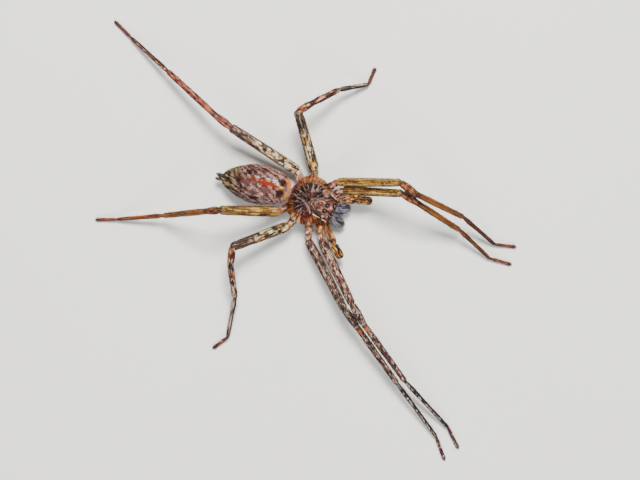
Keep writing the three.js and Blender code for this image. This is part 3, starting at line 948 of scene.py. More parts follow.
# Ground colours from the coxa through femur, patella, tibia and metatarsus to tarsus
LEG_GROUNDS = {
    "golden": ["#7C4632", "#C29C4E", "#8E5A3C", "#A46C24", "#90522A", "#9E5028"],
    "spotted": ["#A87A60", "#C8A874", "#94583A", "#A06A5A", "#8A746A", "#84443C"],
    "freckled": ["#BC947C", "#C4A078", "#B0705C", "#A85E4A", "#8E5A44", "#84483C"],
    "streaked": ["#90583C", "#98685A", "#704A3E", "#7C4A44", "#483636", "#723A34"],
}
# How light each leg is from coxa to tarsus beside its pattern's own colours
LEG_LIGHT = {
    "leg_left_1": [1.0, 0.88, 0.9, 0.72, 0.45, 0.72],
    "leg_left_2": [1.0, 0.9, 0.85, 0.72, 0.42, 0.72],
    "leg_left_3": [1.0, 0.85, 0.85, 0.85, 0.75, 0.9],
    "leg_left_4": [1.1, 0.95, 1.0, 0.95, 0.9, 1.0],
    "leg_right_1": [0.75, 0.9, 0.6, 0.62, 0.8, 0.68],
    "leg_right_2": [0.9, 0.6, 0.52, 0.55, 0.75, 0.8],
    "leg_right_3": [1.3, 0.85, 0.6, 0.72, 0.68, 0.9],
    "leg_right_4": [1.0, 1.0, 0.65, 0.95, 0.85, 0.75],
}
# Each mark: segments from and to, colour, stroke length and width in mm, where the noise begins to show it
LEG_MARKS = {
    "golden": [
        (0.0, 1.0, "#3E1614", 0.7, 0.45, 0.25), (0.0, 1.0, "#E8C0B0", 0.5, 0.36, 0.5),
        (1.0, 2.0, "#E8C878", 2.2, 0.45, 0.34), (1.0, 2.0, "#5A3A14", 2.6, 0.4, 0.26),
        (1.0, 2.0, "#A88070", 1.2, 0.36, 0.5), (1.02, 2.0, "#20120C", 0.35, 0.4, 0.56),
        (2.0, 3.0, "#2C0E0A", 0.5, 0.4, 0.26), (2.0, 3.0, "#E09A54", 0.5, 0.34, 0.4),
        (3.0, 5.0, "#4A1E0C", 2.4, 0.36, 0.2), (3.0, 5.0, "#C88038", 2.0, 0.36, 0.4),
        (5.0, 6.0, "#4E1412", 1.2, 0.36, 0.2), (5.0, 6.0, "#D89070", 0.5, 0.3, 0.45),
    ],
    "spotted": [
        (0.0, 1.0, "#F8E0BC", 0.5, 0.4, 0.36), (0.0, 1.0, "#1E1016", 0.6, 0.45, 0.26),
        (1.0, 2.0, "#6A4434", 0.8, 0.42, 0.24), (1.0, 2.0, "#FFF6D0", 0.8, 0.42, 0.28),
        (1.0, 1.7, "#D8901C", 0.6, 0.36, 0.54), (1.0, 2.0, "#0C0610", 0.8, 0.5, 0.14),
        (2.0, 4.0, "#6A3224", 0.9, 0.4, 0.2), (2.0, 3.4, "#D8682C", 0.7, 0.36, 0.42),
        (2.0, 4.0, "#FFE4C0", 0.8, 0.44, 0.3), (2.0, 4.0, "#0E060C", 0.9, 0.46, 0.2),
        (4.0, 5.0, "#FFE4CC", 0.8, 0.4, 0.3), (4.0, 6.0, "#280E10", 0.8, 0.36, 0.26),
    ],
    "freckled": [
        (0.0, 1.0, "#F8E0CC", 0.5, 0.36, 0.34), (0.0, 1.0, "#2A161C", 0.6, 0.45, 0.26),
        (1.0, 2.0, "#6A4238", 0.8, 0.4, 0.12), (1.0, 2.0, "#FFF2D4", 0.7, 0.4, 0.28),
        (1.0, 2.0, "#140A10", 0.6, 0.42, 0.24), (2.0, 3.0, "#2A1216", 0.6, 0.4, 0.3),
        (2.0, 4.0, "#5A2A24", 1.4, 0.3, 0.26), (2.0, 4.0, "#E09A80", 0.8, 0.3, 0.4),
        (3.3, 4.0, "#26141A", 0.6, 0.36, 0.36), (4.0, 5.0, "#F8CCA8", 0.5, 0.34, 0.46),
        (4.0, 6.0, "#2E1412", 0.8, 0.34, 0.26),
    ],
    "streaked": [
        (0.0, 1.0, "#3A1A1E", 0.5, 0.45, 0.26), (0.0, 1.0, "#E8983C", 0.6, 0.4, 0.34),
        (0.5, 1.0, "#FFF0E4", 0.35, 0.34, 0.5), (1.0, 4.0, "#4A2824", 0.7, 0.34, 0.16),
        (1.0, 4.0, "#D4AC98", 0.6, 0.34, 0.36), (1.0, 4.0, "#120810", 0.55, 0.36, 0.34),
        (1.0, 4.0, "#FCE4CC", 0.4, 0.3, 0.56), (4.0, 5.0, "#D0B0A4", 0.6, 0.34, 0.4),
        (4.0, 5.0, "#0C080E", 1.2, 0.36, 0.16), (5.0, 6.0, "#3A1414", 0.7, 0.34, 0.2),
        (4.0, 6.0, "#FCE8D0", 0.3, 0.34, 0.58),
    ],
}  # fmt: skip
# Marks that stand out on one leg: place in segments, side from -1 at the leg's left edge to 1 at its right
# edge as seen from above looking out along it, half length and half width in mm, and colour
LEG_SPOTS = {
    "leg_left_1": [
        # the pale pink spot at the coxa's end is a painted highlight, a glint of the light
        (0.8, 0.0, 0.2, 0.15, "#E8B0A0"), (1.18, 0.1, 0.2, 0.14, "#3A2818"),
        (1.47, 0.1, 0.22, 0.15, "#3A2818"), (1.75, 0.0, 0.2, 0.14, "#3A2818"),
        (1.14, -0.1, 0.9, 0.08, "#B89078"),
    ],
    "leg_left_2": [
        # the pale violet spot inside the orange-red patch at the coxa's end is a painted highlight, a glint
        # of the light
        (0.8, 0.0, 0.5, 0.5, "#9A4C30"), (0.8, 0.0, 0.17, 0.15, "#E0D8FF"),
        (1.2, 0.1, 1.1, 0.12, "#A88070"), (1.32, 0.2, 0.3, 0.16, "#3A2A30"),
        (1.49, -0.3, 0.25, 0.13, "#3A2818"), (1.75, 0.1, 0.2, 0.15, "#3A2818"),
        (1.89, 0.1, 0.16, 0.13, "#3A2818"),
    ],
    "leg_left_3": [
        (1.11, 0.26, 0.5, 0.42, "#F0DC96"), (1.08, 0.45, 0.24, 0.26, "#4A3410"),
        (1.255, 0.3, 0.62, 0.38, "#16100C"), (1.255, 0.3, 0.34, 0.17, "#A09878"),
        (1.19, -0.7, 0.34, 0.17, "#D8960E"), (1.235, -0.85, 0.3, 0.2, "#141018"),
        (1.39, -0.5, 0.6, 0.12, "#D87428"), (1.41, 0.15, 0.65, 0.42, "#FFF4DC"),
        (1.43, -0.05, 0.1, 0.1, "#4A1818"), (1.38, 0.35, 0.1, 0.1, "#4A1818"),
        (1.355, 0.0, 0.1, 0.1, "#4A1818"), (1.475, -0.55, 0.36, 0.24, "#080A12"),
        (1.54, -0.65, 0.3, 0.11, "#E8A818"), (1.58, -0.35, 0.4, 0.16, "#0E141C"),
        (1.52, 0.45, 0.62, 0.32, "#0C0A12"), (1.52, 0.45, 0.34, 0.13, "#DCD8C4"),
        (1.67, -0.05, 0.7, 0.46, "#FFF6E0"), (1.765, 0.0, 0.32, 0.3, "#160C12"),
        (1.97, -0.3, 0.22, 0.2, "#10102A"), (1.985, 0.3, 0.18, 0.15, "#FFFFFF"),
        (1.985, -0.8, 0.2, 0.13, "#FFFFFF"), (2.3, -0.5, 0.55, 0.16, "#F07A28"),
        (2.45, 0.45, 0.42, 0.22, "#0E0A14"), (2.42, 0.5, 0.2, 0.09, "#C0B0A8"),
        (2.7, -0.1, 0.35, 0.2, "#F6D4AC"), (2.95, 0.1, 0.22, 0.42, "#0C080E"),
        (3.3, -0.3, 0.9, 0.13, "#F0A078"), (3.85, -0.1, 0.25, 0.25, "#0C0A12"),
    ],
    "leg_left_4": [
        (1.14, -0.2, 0.7, 0.3, "#F6E4B8"), (1.24, 0.1, 0.36, 0.3, "#0E0A0C"),
        (1.22, 0.7, 0.5, 0.12, "#161018"), (1.36, 0.2, 0.6, 0.26, "#FFF0D0"),
        (1.39, 0.5, 0.16, 0.15, "#20141A"), (1.41, -0.5, 0.6, 0.13, "#F6E4C0"),
        (1.5, 0.0, 0.5, 0.4, "#281618"), (1.65, 0.0, 0.9, 0.32, "#FCE8BC"),
        (1.6, 0.5, 0.42, 0.2, "#FFFAF0"), (1.66, 0.55, 0.12, 0.1, "#20141A"),
        (1.7, 0.65, 0.4, 0.12, "#FFFFFF"), (1.79, 0.4, 0.32, 0.3, "#140E12"),
        (1.93, 0.3, 0.3, 0.09, "#0E080C"), (1.965, 0.0, 0.13, 0.13, "#FCF0CC"),
        (2.02, -0.1, 0.22, 0.18, "#0E0808"), (4.06, 0.1, 0.2, 0.14, "#FFC898"),
    ],
    "leg_right_1": [
        (0.62, 0.0, 0.4, 0.36, "#D88A34"), (0.66, 0.3, 0.16, 0.14, "#FFDC60"),
        (0.5, -0.3, 0.13, 0.2, "#FFFFFF"), (0.78, 0.2, 0.14, 0.3, "#5A4060"),
    ],
    "leg_right_2": [
        (0.7, -0.25, 0.34, 0.25, "#DC9440"), (0.7, 0.4, 0.26, 0.22, "#FFF2E0"),
    ],
    "leg_right_3": [
        (1.1, -0.45, 0.8, 0.32, "#F8E096"), (1.1, 0.5, 0.5, 0.17, "#120C10"),
        (1.06, 0.15, 0.3, 0.13, "#FAECCC"), (1.21, 0.0, 0.5, 0.32, "#0E0A10"),
        (1.2, 0.1, 0.2, 0.12, "#F8E8C8"), (1.25, -0.3, 0.25, 0.15, "#F2DCB0"),
        (1.36, 0.1, 0.36, 0.22, "#FCECD0"), (1.45, 0.15, 0.46, 0.36, "#08080C"),
        (1.44, 0.3, 0.12, 0.12, "#D08838"), (1.5, 0.4, 0.16, 0.1, "#C8784A"),
        (1.4, -0.45, 0.5, 0.13, "#0E0A0E"), (1.6, 0.0, 0.6, 0.36, "#FCE8C0"),
        (1.62, 0.5, 0.5, 0.13, "#20141A"), (1.66, -0.2, 0.35, 0.1, "#20141A"),
        (1.69, -0.3, 0.3, 0.12, "#FFF6E0"), (1.76, -0.1, 0.5, 0.3, "#0A080C"),
        (1.77, 0.55, 0.6, 0.11, "#F4E8E6"), (1.88, -0.5, 0.5, 0.2, "#8E686C"),
        (1.94, 0.6, 0.3, 0.14, "#140C12"), (1.97, 0.3, 0.25, 0.15, "#FCF0E0"),
        (2.15, 0.5, 0.36, 0.2, "#F08A38"), (2.45, 0.75, 0.5, 0.13, "#DC7E40"),
        (2.45, -0.1, 0.46, 0.3, "#0E0A10"), (2.3, -0.6, 0.6, 0.2, "#161016"),
        (2.7, 0.1, 0.17, 0.17, "#F4D09C"), (2.9, 0.0, 0.26, 0.32, "#0C080C"),
        (3.15, 0.6, 0.8, 0.12, "#ECA05C"), (3.12, -0.1, 0.4, 0.16, "#C0A8B0"),
        (3.5, -0.2, 0.7, 0.22, "#140A0C"), (3.65, 0.55, 0.8, 0.12, "#DC904C"),
        (3.93, 0.0, 0.2, 0.3, "#F4B478"), (4.3, 0.5, 0.13, 0.1, "#F8E0CC"),
        (4.5, 0.5, 0.13, 0.1, "#F8E0CC"), (4.75, 0.45, 0.15, 0.1, "#F8E0CC"),
        (5.4, 0.2, 0.2, 0.1, "#F4D8C8"),
    ],
    "leg_right_4": [
        (0.85, -0.3, 0.32, 0.28, "#E0862C"), (0.97, 0.0, 0.1, 0.5, "#E8C4C0"),
        (1.12, 0.1, 0.8, 0.06, "#E8D0A8"), (1.31, -0.5, 0.24, 0.2, "#33250E"),
        (1.56, -0.2, 0.16, 0.12, "#33250E"), (1.56, -0.75, 0.22, 0.15, "#33250E"),
        (1.12, 0.4, 0.14, 0.12, "#33250E"), (2.3, 0.3, 0.3, 0.15, "#1E1210"),
        (2.5, -0.1, 0.25, 0.14, "#1E1210"), (2.7, -0.5, 0.6, 0.16, "#C87028"),
    ],
}  # fmt: skip
# Legs with painted shade, a dark strip along the side of the foot's long segment that lies in shadow, and
# which side that is
SHADE_STRIP_SIDES = {"leg_left_3": 1, "leg_left_4": 1, "leg_right_1": -1, "leg_right_2": -1, "leg_right_3": -1}
# Colours of the darker lines along the legs' flanks, partly the legs' own colour and partly painted shade
# where their sides turn from the light, of the feet's ends and of the soles
FLANK_LINES_AND_SHADE = {"golden": "#3A240C", "spotted": "#14101A", "freckled": "#2E1A1E", "streaked": "#1E1014"}
FOOT_GREY = "#2E4A5A"
SOLE = "#22222E"
# The femur of a spotted or freckled leg is mauve-brown from this place in segments on
SHADED_FEMUR = 1.62
# How far before a node's first row its joint's fold starts, in mm
FOLD_REACH = 0.15
# The tibia's node starts with this many rows of patella
PATELLA_ROWS = 3


def segment_marks(leg):
    """Where each segment of a leg, from coxa to tarsus, starts along it, and where the leg ends."""
    stations, begins = limbs[leg]["stations"], limbs[leg]["begins"]
    femur, patella, metatarsus, tarsus = (stations[b] - FOLD_REACH for b in begins[1:])
    tibia = stations[begins[2] + PATELLA_ROWS]
    return [0.0, femur, patella, tibia, metatarsus, tarsus, stations[-1]]


def leg_radius(leg, distance):
    """Half the width of a leg at a distance along it."""
    return np.maximum(np.interp(distance, limbs[leg]["stations"], limbs[leg]["rows"][:, 3]), 0.2)


def dress_leg(ground, leg, seed):
    limb = Patch(ground, leg)
    paint, strokes = limb.paint, limb.strokes
    look = LEG_LOOKS[leg]
    run, sine, cosine = limb.along, np.sin(limb.angle), np.cos(limb.angle)
    limb.radius = leg_radius(leg, run)
    # places count segments: 1 is where the femur starts, 6 the claws
    marks = segment_marks(leg)
    place = np.interp(run, marks, range(7))
    wavy = place + 0.05 * (noise(limb.points / 0.3, 61) - 0.5)
    grounds = np.array([colour(code) for code in LEG_GROUNDS[look]])
    limb.tint = grounds[np.clip(wavy.astype(int), 0, 5)]
    for number, (start, end, code, length, width, shows) in enumerate(LEG_MARKS[look]):
        inside = ramp(wavy, start - 0.01, start + 0.01) * fade(wavy, end - 0.01, end + 0.01)
        paint(code, inside * strokes(length, width, seed * 20 + number, shows, shows + 0.06) * 0.9)
    # single marks, two of them painted highlights, broken by strands of the hair about them
    strands = 1 - 0.8 * strokes(0.5, 0.2, seed + 500, 0.3, 0.4)
    for at, side, half_length, half_width, code in LEG_SPOTS[leg]:
        centre = np.interp(at, range(7), marks)
        turn = (limb.angle - math.acos(-side)) * limb.radius
        paint(code, limb.spot(run - centre, turn, half_length, half_width) * strands * 0.92)
    if look in ("spotted", "freckled"):
        far = ramp(place, SHADED_FEMUR, SHADED_FEMUR + 0.05) * fade(place, 1.98, 2.0)
        paint("#8A6662", far * 0.6)
        paint("#1E1218", far * strokes(1.2, 0.36, seed + 300, 0.2, 0.28) * 0.85)
    # darker lines along both flanks, partly the leg's own colour and partly painted shade where its sides
    # turn from the light, a little tan below, and a brown line on top of a golden leg
    paint(FLANK_LINES_AND_SHADE[look], bell(sine - 0.18, 0.3) * 0.8 * ramp(place, 0.9, 1.1))
    paint("#86684A", fade(sine, -0.8, -0.3) * 0.35 * fade(place, 3.8, 4.2))
    if look == "golden":
        paint("#5A3208", bell(cosine - 0.25, 0.13) * (sine > 0) * ramp(place, 1, 1.1) * 0.7)
    # joints: a dark fold, and an orange and a cream touch on top of a streaked leg's knee
    for joint in (1, 2, 3, 4, 5):
        paint("#1E0C0C", bell(place - joint, 0.014 if joint != 3 else 0.05) * 0.75)
    if look == "streaked":
        paint("#F08A30", bell(place - 3.06, 0.03) * 0.9 * ramp(sine, 0.2, 0.6))
        paint("#F6E6D2", bell(place - 2.96, 0.03) * 0.7 * ramp(sine, 0.2, 0.6))
    # painted shade: a dark navy strip along the shadowed side of the metatarsus
    if leg in SHADE_STRIP_SIDES:
        shade_strip = ramp(-cosine * SHADE_STRIP_SIDES[leg], 0.1, 0.45)
        paint("#0C1422", shade_strip * ramp(place, 3.9, 4.1) * fade(place, 4.95, 5.05) * 0.85)
    limb.tint *= np.interp(place, np.arange(6) + 0.5, LEG_LIGHT[leg])[:, None]
    # soles and claw tufts
    paint(SOLE, fade(sine, -0.45, -0.05) * ramp(place, 4.1, 4.4) * 0.85)
    paint(FOOT_GREY, ramp(place, 5.84, 5.95) * 0.9)
    limb.finish()

    # hair: longest at the leg's root, shorter towards the foot, and closest of all on the golden legs
    close = 0.7 if look == "golden" else 0.85
    lengths = close * np.interp(place, [0, 1, 1.5, 3, 4, 5, 6], [0.42, 0.42, 0.38, 0.32, 0.3, 0.26, 0.24])
    crowd = np.interp(place, [0, 4, 5, 6], [1.0, 1.0, 1.3, 1.4])
    lift = 8 if look == "golden" else 10
    limb.comb(length=lengths, lift=lift, crowd=crowd, pale=0.02, dark=0.04, stray=0.3)
    limb.comb(place > 5.8, length=0.3, lift=38)
    limb.comb((place > 4.1) & (sine < -0.25), length=0.2, lift=48)


def dress_feeler(ground, side, seed):
    name = f"palp_{side}"
    palp = Patch(ground, name)
    paint, strokes = palp.paint, palp.strokes
    palp.radius = 0.38
    stations, begins = limbs[name]["stations"], limbs[name]["begins"]
    place = palp.along / stations[-1]
    knee = stations[begins[1]] / stations[-1]
    paint("#B87840")
    paint("#F0D4A8", strokes(1.2, 0.4, seed, 0.3, 0.4) * 0.85)
    paint("#4A2014", strokes(1.2, 0.36, seed + 1, 0.25, 0.35) * 0.85)
    far = ramp(place, knee - 0.16, knee - 0.08)
    paint("#2C1A1E", far * 0.92)
    paint("#C88A40", far * strokes(0.6, 0.36, seed + 2, 0.3, 0.4) * 0.9)
    paint("#F0D8A8", far * strokes(0.3, 0.3, seed + 3, 0.5, 0.58) * 0.9)
    paint("#6E3A26", ramp(place, 0.86, 0.94) * 0.7)
    palp.finish()
    lengths = np.interp(place, [0, knee, 1], [0.26, 0.28, 0.36])
    lift = np.interp(place, [0, 0.8, 1], [12, 14, 26])
    palp.comb(length=lengths, lift=lift, pale=0.03, dark=0.05, stray=0.3)


def dress_jaws(ground):
    jaws = Patch(ground, "chelicera_left", "chelicera_right")
    jaws.radius = 0.8
    paint, strokes, run = jaws.paint, jaws.strokes, jaws.along
    paint("#54526A")
    paint("#16141E", strokes(0.9, 0.36, 71, 0.2, 0.3) * 0.85)
    paint("#D0CEDC", strokes(0.9, 0.36, 72, 0.3, 0.4) * 0.8)
    paint("#A89A92", strokes(0.9, 0.3, 73, 0.25, 0.35) * ramp(run, 1.8, 2.6) * 0.7)
    paint("#5A3A34", ramp(run, 2.6, 3.3) * 0.6)
    jaws.comb(length=0.8, lift=14, width=0.036, pale=0.1, dark=0.1, stray=0.5)
    draw_cheeks(jaws)
    jaws.finish()


def dress_underside(ground):
    below = Patch(ground, "sternum", "spinnerets")
    below.paint("#8A6A50")
    below.paint("#5A4236", below.grain(0.6, 81, 0.5, 0.7) * 0.6)
    below.paint("#54485A", (below.plan[:, 1] > 8) * 0.8)
    below.finish()
    below.comb(lift=24)


def dress(ground):
    dress_shield(ground)
    dress_abdomen(ground)
    for number, leg in enumerate(LEGS):
        dress_leg(ground, leg, number + 4)
    for side, seed in zip(SIDES, (90, 95)):
        dress_feeler(ground, side, seed)
    dress_jaws(ground)
    dress_underside(ground)
    return ground


skin_ground = dress(Ground(skin_points, skin_normals, owner, along, spoke, way))


# Materials


def add_node(tree, kind, links=(), **settings):
    """One node with its settings. Settings named in words are inputs; links are (input, node output)."""
    node = tree.nodes.new(kind)
    for name, value in settings.items():
        if hasattr(node, name):
            setattr(node, name, value)
        else:
            node.inputs[name.replace("_", " ")].default_value = value
    for name, source in links:
        tree.links.new(source, node.inputs[name])
    return node


def new_material(name, **values):
    """A material with these values on its shader. Gives the material, its node tree and the shader."""
    material = bpy.data.materials.new(name)
    material.use_nodes = True
    shader = material.node_tree.nodes["Principled BSDF"]
    for key, value in values.items():
        shader.inputs[key.replace("_", " ")].default_value = value
    return material, material.node_tree, shader


def grain(tree, size_mm, detail=3.0):
    """Noise whose bumps are about this size on the real thing."""
    where = add_node(tree, "ShaderNodeTexCoord")
    return add_node(
        tree,
        "ShaderNodeTexNoise",
        [("Vector", where.outputs["Object"])],
        Scale=1.0 / (size_mm * MM),
        Detail=detail,
        Roughness=0.6,
    )


def tinted(tree, shader, size_mm, darkest, lightest):
    """Colours a shader by the mesh's own tint, made lighter and darker in patches of this size."""
    tints = add_node(tree, "ShaderNodeAttribute", attribute_name="tint")
    patches = grain(tree, size_mm)
    strength = add_node(
        tree,
        "ShaderNodeMapRange",
        [("Value", patches.outputs["Fac"])],
        From_Min=0.3,
        From_Max=0.7,
        To_Min=darkest,
        To_Max=lightest,
    )
    product = add_node(
        tree,
        "ShaderNodeVectorMath",
        [("Vector", tints.outputs["Color"]), ("Scale", strength.outputs["Result"])],
        operation="SCALE",
    )
    tree.links.new(product.outputs["Vector"], shader.inputs["Base Color"])


def two_toned(tree, shader, size_mm, dark, light):
    """Colours a shader from dark to light in patches of this size."""
    patches = grain(tree, size_mm)
    tone = add_node(tree, "ShaderNodeValToRGB", [("Fac", patches.outputs["Fac"])])
    for stop, hex_code in zip(tone.color_ramp.elements, (dark, light)):
        stop.color = (*colour(hex_code), 1)
    tree.links.new(tone.outputs["Color"], shader.inputs["Base Color"])


def cuticle():
    """Cuticle, the spider's skin: thin waxy chitin, half dull, pimpled where each hair is rooted."""
    material, tree, shader = new_material("hairy_cuticle", Roughness=0.52, IOR=1.55, Specular_IOR_Level=0.3)
    tinted(tree, shader, 0.12, 0.72, 1.15)
    pimples = grain(tree, 0.07, 2.0).outputs["Fac"]
    bump = add_node(tree, "ShaderNodeBump", [("Height", pimples)], Strength=0.5, Distance=0.03 * MM)
    tree.links.new(bump.outputs["Normal"], shader.inputs["Normal"])
    return material


def setae():
    """Setae, the spider's hair: solid chitin bristles, satin, with a soft shine along them."""
    material, tree, shader = new_material("setae", Roughness=0.6, IOR=1.55, Specular_IOR_Level=0.14)
    tinted(tree, shader, 0.5, 0.88, 1.12)
    return material


def cornea():
    """Cornea, clear hard cuticle over a black eye: the gloss of wet glass, almost no colour."""
    gloss = {"Roughness": 0.06, "IOR": 1.5, "Coat_Weight": 0.4, "Coat_Roughness": 0.02}
    material, tree, shader = new_material("eye_cornea", **gloss)
    two_toned(tree, shader, 0.25, "#050506", "#1A1216")
    return material


def hard_chitin(name, dark, light, roughness):
    """Fangs, claws and spines: hard tanned chitin, polished smooth, dark brown with a redder glow."""
    gloss = {"Roughness": roughness, "IOR": 1.56, "Coat_Weight": 0.3, "Coat_Roughness": 0.1}
    material, tree, shader = new_material(name, **gloss)
    two_toned(tree, shader, 0.3, dark, light)
    return material


def floor_card():
    """Matt card for the floor: pale, faintly mottled."""
    material, tree, shader = new_material("floor_card", Roughness=0.9)
    two_toned(tree, shader, 40.0, "#DEDDD6", "#E4E3DD")
    return material


CUTICLE = cuticle()
SETAE = setae()
CORNEA = cornea()
FANG_CHITIN = hard_chitin("fang_chitin", "#120706", "#4A160E", 0.18)
CLAW_CHITIN = hard_chitin("claw_chitin", "#15100F", "#3A2420", 0.28)
SPINE_CHITIN = hard_chitin("spine_chitin", "#2A1A14", "#7A4E30", 0.35)


# Pieces


def set_tint(mesh, tints):
    layer = mesh.color_attributes.new("tint", "FLOAT_COLOR", "POINT")
    rgba = np.concatenate([np.clip(tints, 0, 1), np.ones((len(tints), 1))], 1)
    layer.data.foreach_set("color", rgba.astype(np.float32).ravel())


def shade_smooth(mesh):
    mesh.polygons.foreach_set("use_smooth", np.ones(len(mesh.polygons), bool))


def make_skin():
    mesh = new_mesh("skin", skin_points, skin_faces)
    shade_smooth(mesh)
    set_tint(mesh, skin_ground.tint)
    skin = new_piece("skin", mesh, CUTICLE)
    flesh = [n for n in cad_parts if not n.startswith(("eye_", "fang_"))]
    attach(skin, "root")
    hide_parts(*sorted(flesh))


# Coat: each tuft is a closed three-sided blade that tapers to a point

# How deep under the skin a tuft is rooted, and the width of its patch on the bake map, which is 1 wide
SINK = 0.04
PATCH = 0.003
# Tufts of the coat by piece: the parts that it covers and how many tufts it has
COATS = {
    "coat_carapace": (["carapace"], 19000),
    "coat_abdomen": (["abdomen", "spinnerets"], 19500),
    "coat_face_and_breast": (
        ["chelicera_left", "chelicera_right", "palp_left", "palp_right", "sternum"],
        17000,
    ),
    "coat_legs_left_front": (["leg_left_1", "leg_left_2"], 19500),
    "coat_legs_left_rear": (["leg_left_3", "leg_left_4"], 19500),
    "coat_legs_right_front": (["leg_right_1", "leg_right_2"], 19500),
    "coat_legs_right_rear": (["leg_right_3", "leg_right_4"], 19500),
}


def scatter(parts, count, rng):
    """Roots spread evenly over the skin of these parts: face corners and the share of each."""
    triangles = np.concatenate([skin_faces[:, [0, 1, 2]], skin_faces[:, [0, 2, 3]]])
    chosen = of(*parts)[triangles].all(1)
    triangles = triangles[chosen]
    a, b, c = (skin_points[triangles[:, k]] for k in range(3))
    area = np.linalg.norm(np.cross(b - a, c - a), axis=1) * skin_ground.hair["crowd"][triangles].mean(1)
    running = np.cumsum(area)
    picks = (np.arange(count) + rng.random(count)) / count * running[-1]
    triangles = triangles[np.clip(np.searchsorted(running, picks), 0, len(triangles) - 1)]
    u, v = rng.random((2, count))
    fold = u + v > 1
    u, v = np.where(fold, 1 - u, u), np.where(fold, 1 - v, v)
    return triangles, np.stack([1 - u - v, u, v], 1)


def unwrap(parts, roots):
    """Each root's place on the skin laid flat: one band for each part, along it and round it."""
    turn = roots.angle / (2 * np.pi) + 0.5
    u, v = np.empty(len(turn)), np.empty(len(turn))
    for band, name in enumerate(parts):
        mine = roots.parts == name
        longest = max(along[of(name)].max(), 1e-6)
        u[mine] = roots.along[mine] / longest
        v[mine] = (band + 0.02 + 0.96 * turn[mine]) / len(parts)
    return np.stack([u, v], 1) * (1 - PATCH)


# Neighbouring tufts lean together in clumps of about this many millimetres
CLUMP = 0.5
# A tuft bends at this share of its length
BEND = 0.45
BLADE_FACES = np.array(
    [
        [0, 1, 4], [0, 4, 3], [1, 2, 5], [1, 5, 4], [2, 0, 3], [2, 3, 5],
        [3, 4, 6], [4, 5, 6], [5, 3, 6], [0, 2, 1],
    ]
)  # fmt: skip
BLADE_UV = np.array([[0, 0], [1, 0], [0.5, 0.3], [0.1, 0.5], [0.9, 0.5], [0.5, 0.75], [0.5, 1]])
# Each tuft's colour is scaled at its seven points: painted shade at its root, deep in the coat, and painted
# light towards its tip and along its upper ridge
BLADE_SHADE = np.array([0.62, 0.62, 0.7, 0.95, 0.95, 1.02, 1.2])


def blades(roots, lengths, lifts, widths, rng):
    """Seven points for each tuft: its base, its bend and its tip."""
    normals = roots.normals
    flat = unit(roots.lie - dot(roots.lie, normals)[:, None] * normals)
    side = np.cross(normals, flat)
    lean = 1.3 * (noise(roots.points / CLUMP, 91) - 0.5)
    lifts = lifts + 16 * roots.hair["stray"] * (noise(roots.points / CLUMP, 92) - 0.4)
    stray = roots.hair["stray"] * (lean + rng.normal(0, 0.14, len(lean)))
    flat = unit(flat + stray[:, None] * side)
    side = np.cross(normals, flat)
    rise = np.radians(np.clip(lifts, 2, 80))[:, None]
    first = flat * np.cos(rise * 1.4) + normals * np.sin(rise * 1.4)
    second = flat * np.cos(rise * 0.5) + normals * np.sin(rise * 0.5)
    length = lengths[:, None]
    width = widths[:, None]
    bend = roots.points + first * length * BEND
    tip = bend + second * length * (1 - BEND)
    base = roots.points - normals * SINK
    lifted = np.cross(flat, side)
    corners = []
    for middle, share in ((base, 1.0), (bend, 0.8)):
        corners.append(middle - side * width * share / 2)
        corners.append(middle + side * width * share / 2)
        corners.append(middle + np.sign(dot(lifted, normals))[:, None] * lifted * width * share * 0.6)
    return np.stack(corners + [tip], 1)


# Single tufts that stand out of the coat: their share of it, and how much they are lifted and longer
STRAY_SHARE = 0.03
STRAY_LIFT = 25
STRAY_LENGTH = 1.35
# No tuft comes nearer to the floor than this
FLOOR_GAP = 0.003
# What a pale tuft is mixed with
PALE_TIP = "#E2C8AC"


def make_coat(name, parts, count, rng):
    count = int(count * COAT_SHARE)
    triangles, shares = scatter(parts, count, rng)

    def at(values):
        if values.ndim == 1:
            return (values[triangles] * shares).sum(1)
        return (values[triangles] * shares[:, :, None]).sum(1)

    places, normals, ways = at(skin_points), unit(at(skin_normals)), unit(at(way))
    roots = dress(Ground(places, normals, owner[triangles[:, 0]], at(along), at(spoke), ways))
    hair = roots.hair
    lengths = hair["length"] * rng.uniform(0.7, 1.25, count)
    lifts = hair["lift"] * rng.uniform(0.6, 1.5, count)
    stray = rng.random(count) < STRAY_SHARE
    lifts = np.where(stray, lifts + STRAY_LIFT, lifts)
    lengths = np.where(stray, lengths * STRAY_LENGTH, lengths)
    widths = hair["width"] * rng.uniform(0.8, 1.3, count)
    points = blades(roots, lengths, lifts, widths, rng)
    points[:, :, 2] = np.maximum(points[:, :, 2], FLOOR_GAP)
    tone = roots.tint * rng.normal(1.0, 0.16, count).clip(0.5, 1.6)[:, None]
    chance = rng.random(count)
    tone = np.where((chance < hair["pale"])[:, None], tone * 0.45 + colour(PALE_TIP) * 0.5, tone)
    tone = np.where((chance > 1 - hair["dark"])[:, None], tone * 0.35, tone)
    # painted shade and light along each tuft, from BLADE_SHADE
    shades = tone[:, None, :] * BLADE_SHADE[None, :, None]
    faces = (BLADE_FACES[None] + 7 * np.arange(count)[:, None, None]).reshape(-1, 3)
    mesh = new_mesh(name, points.reshape(-1, 3), faces)
    set_tint(mesh, shades.reshape(-1, 3))
    corner = np.empty(len(mesh.loops), np.int32)
    mesh.loops.foreach_get("vertex_index", corner)
    patch = unwrap(parts, roots)[:, None] + BLADE_UV[None] * PATCH
    layer = mesh.uv_layers.new(name="OFBake")
    layer.uv.foreach_set("vector", patch.reshape(-1, 2)[corner].astype(np.float32).ravel())
    coat = new_piece(name, mesh, SETAE)
    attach(coat, "root")


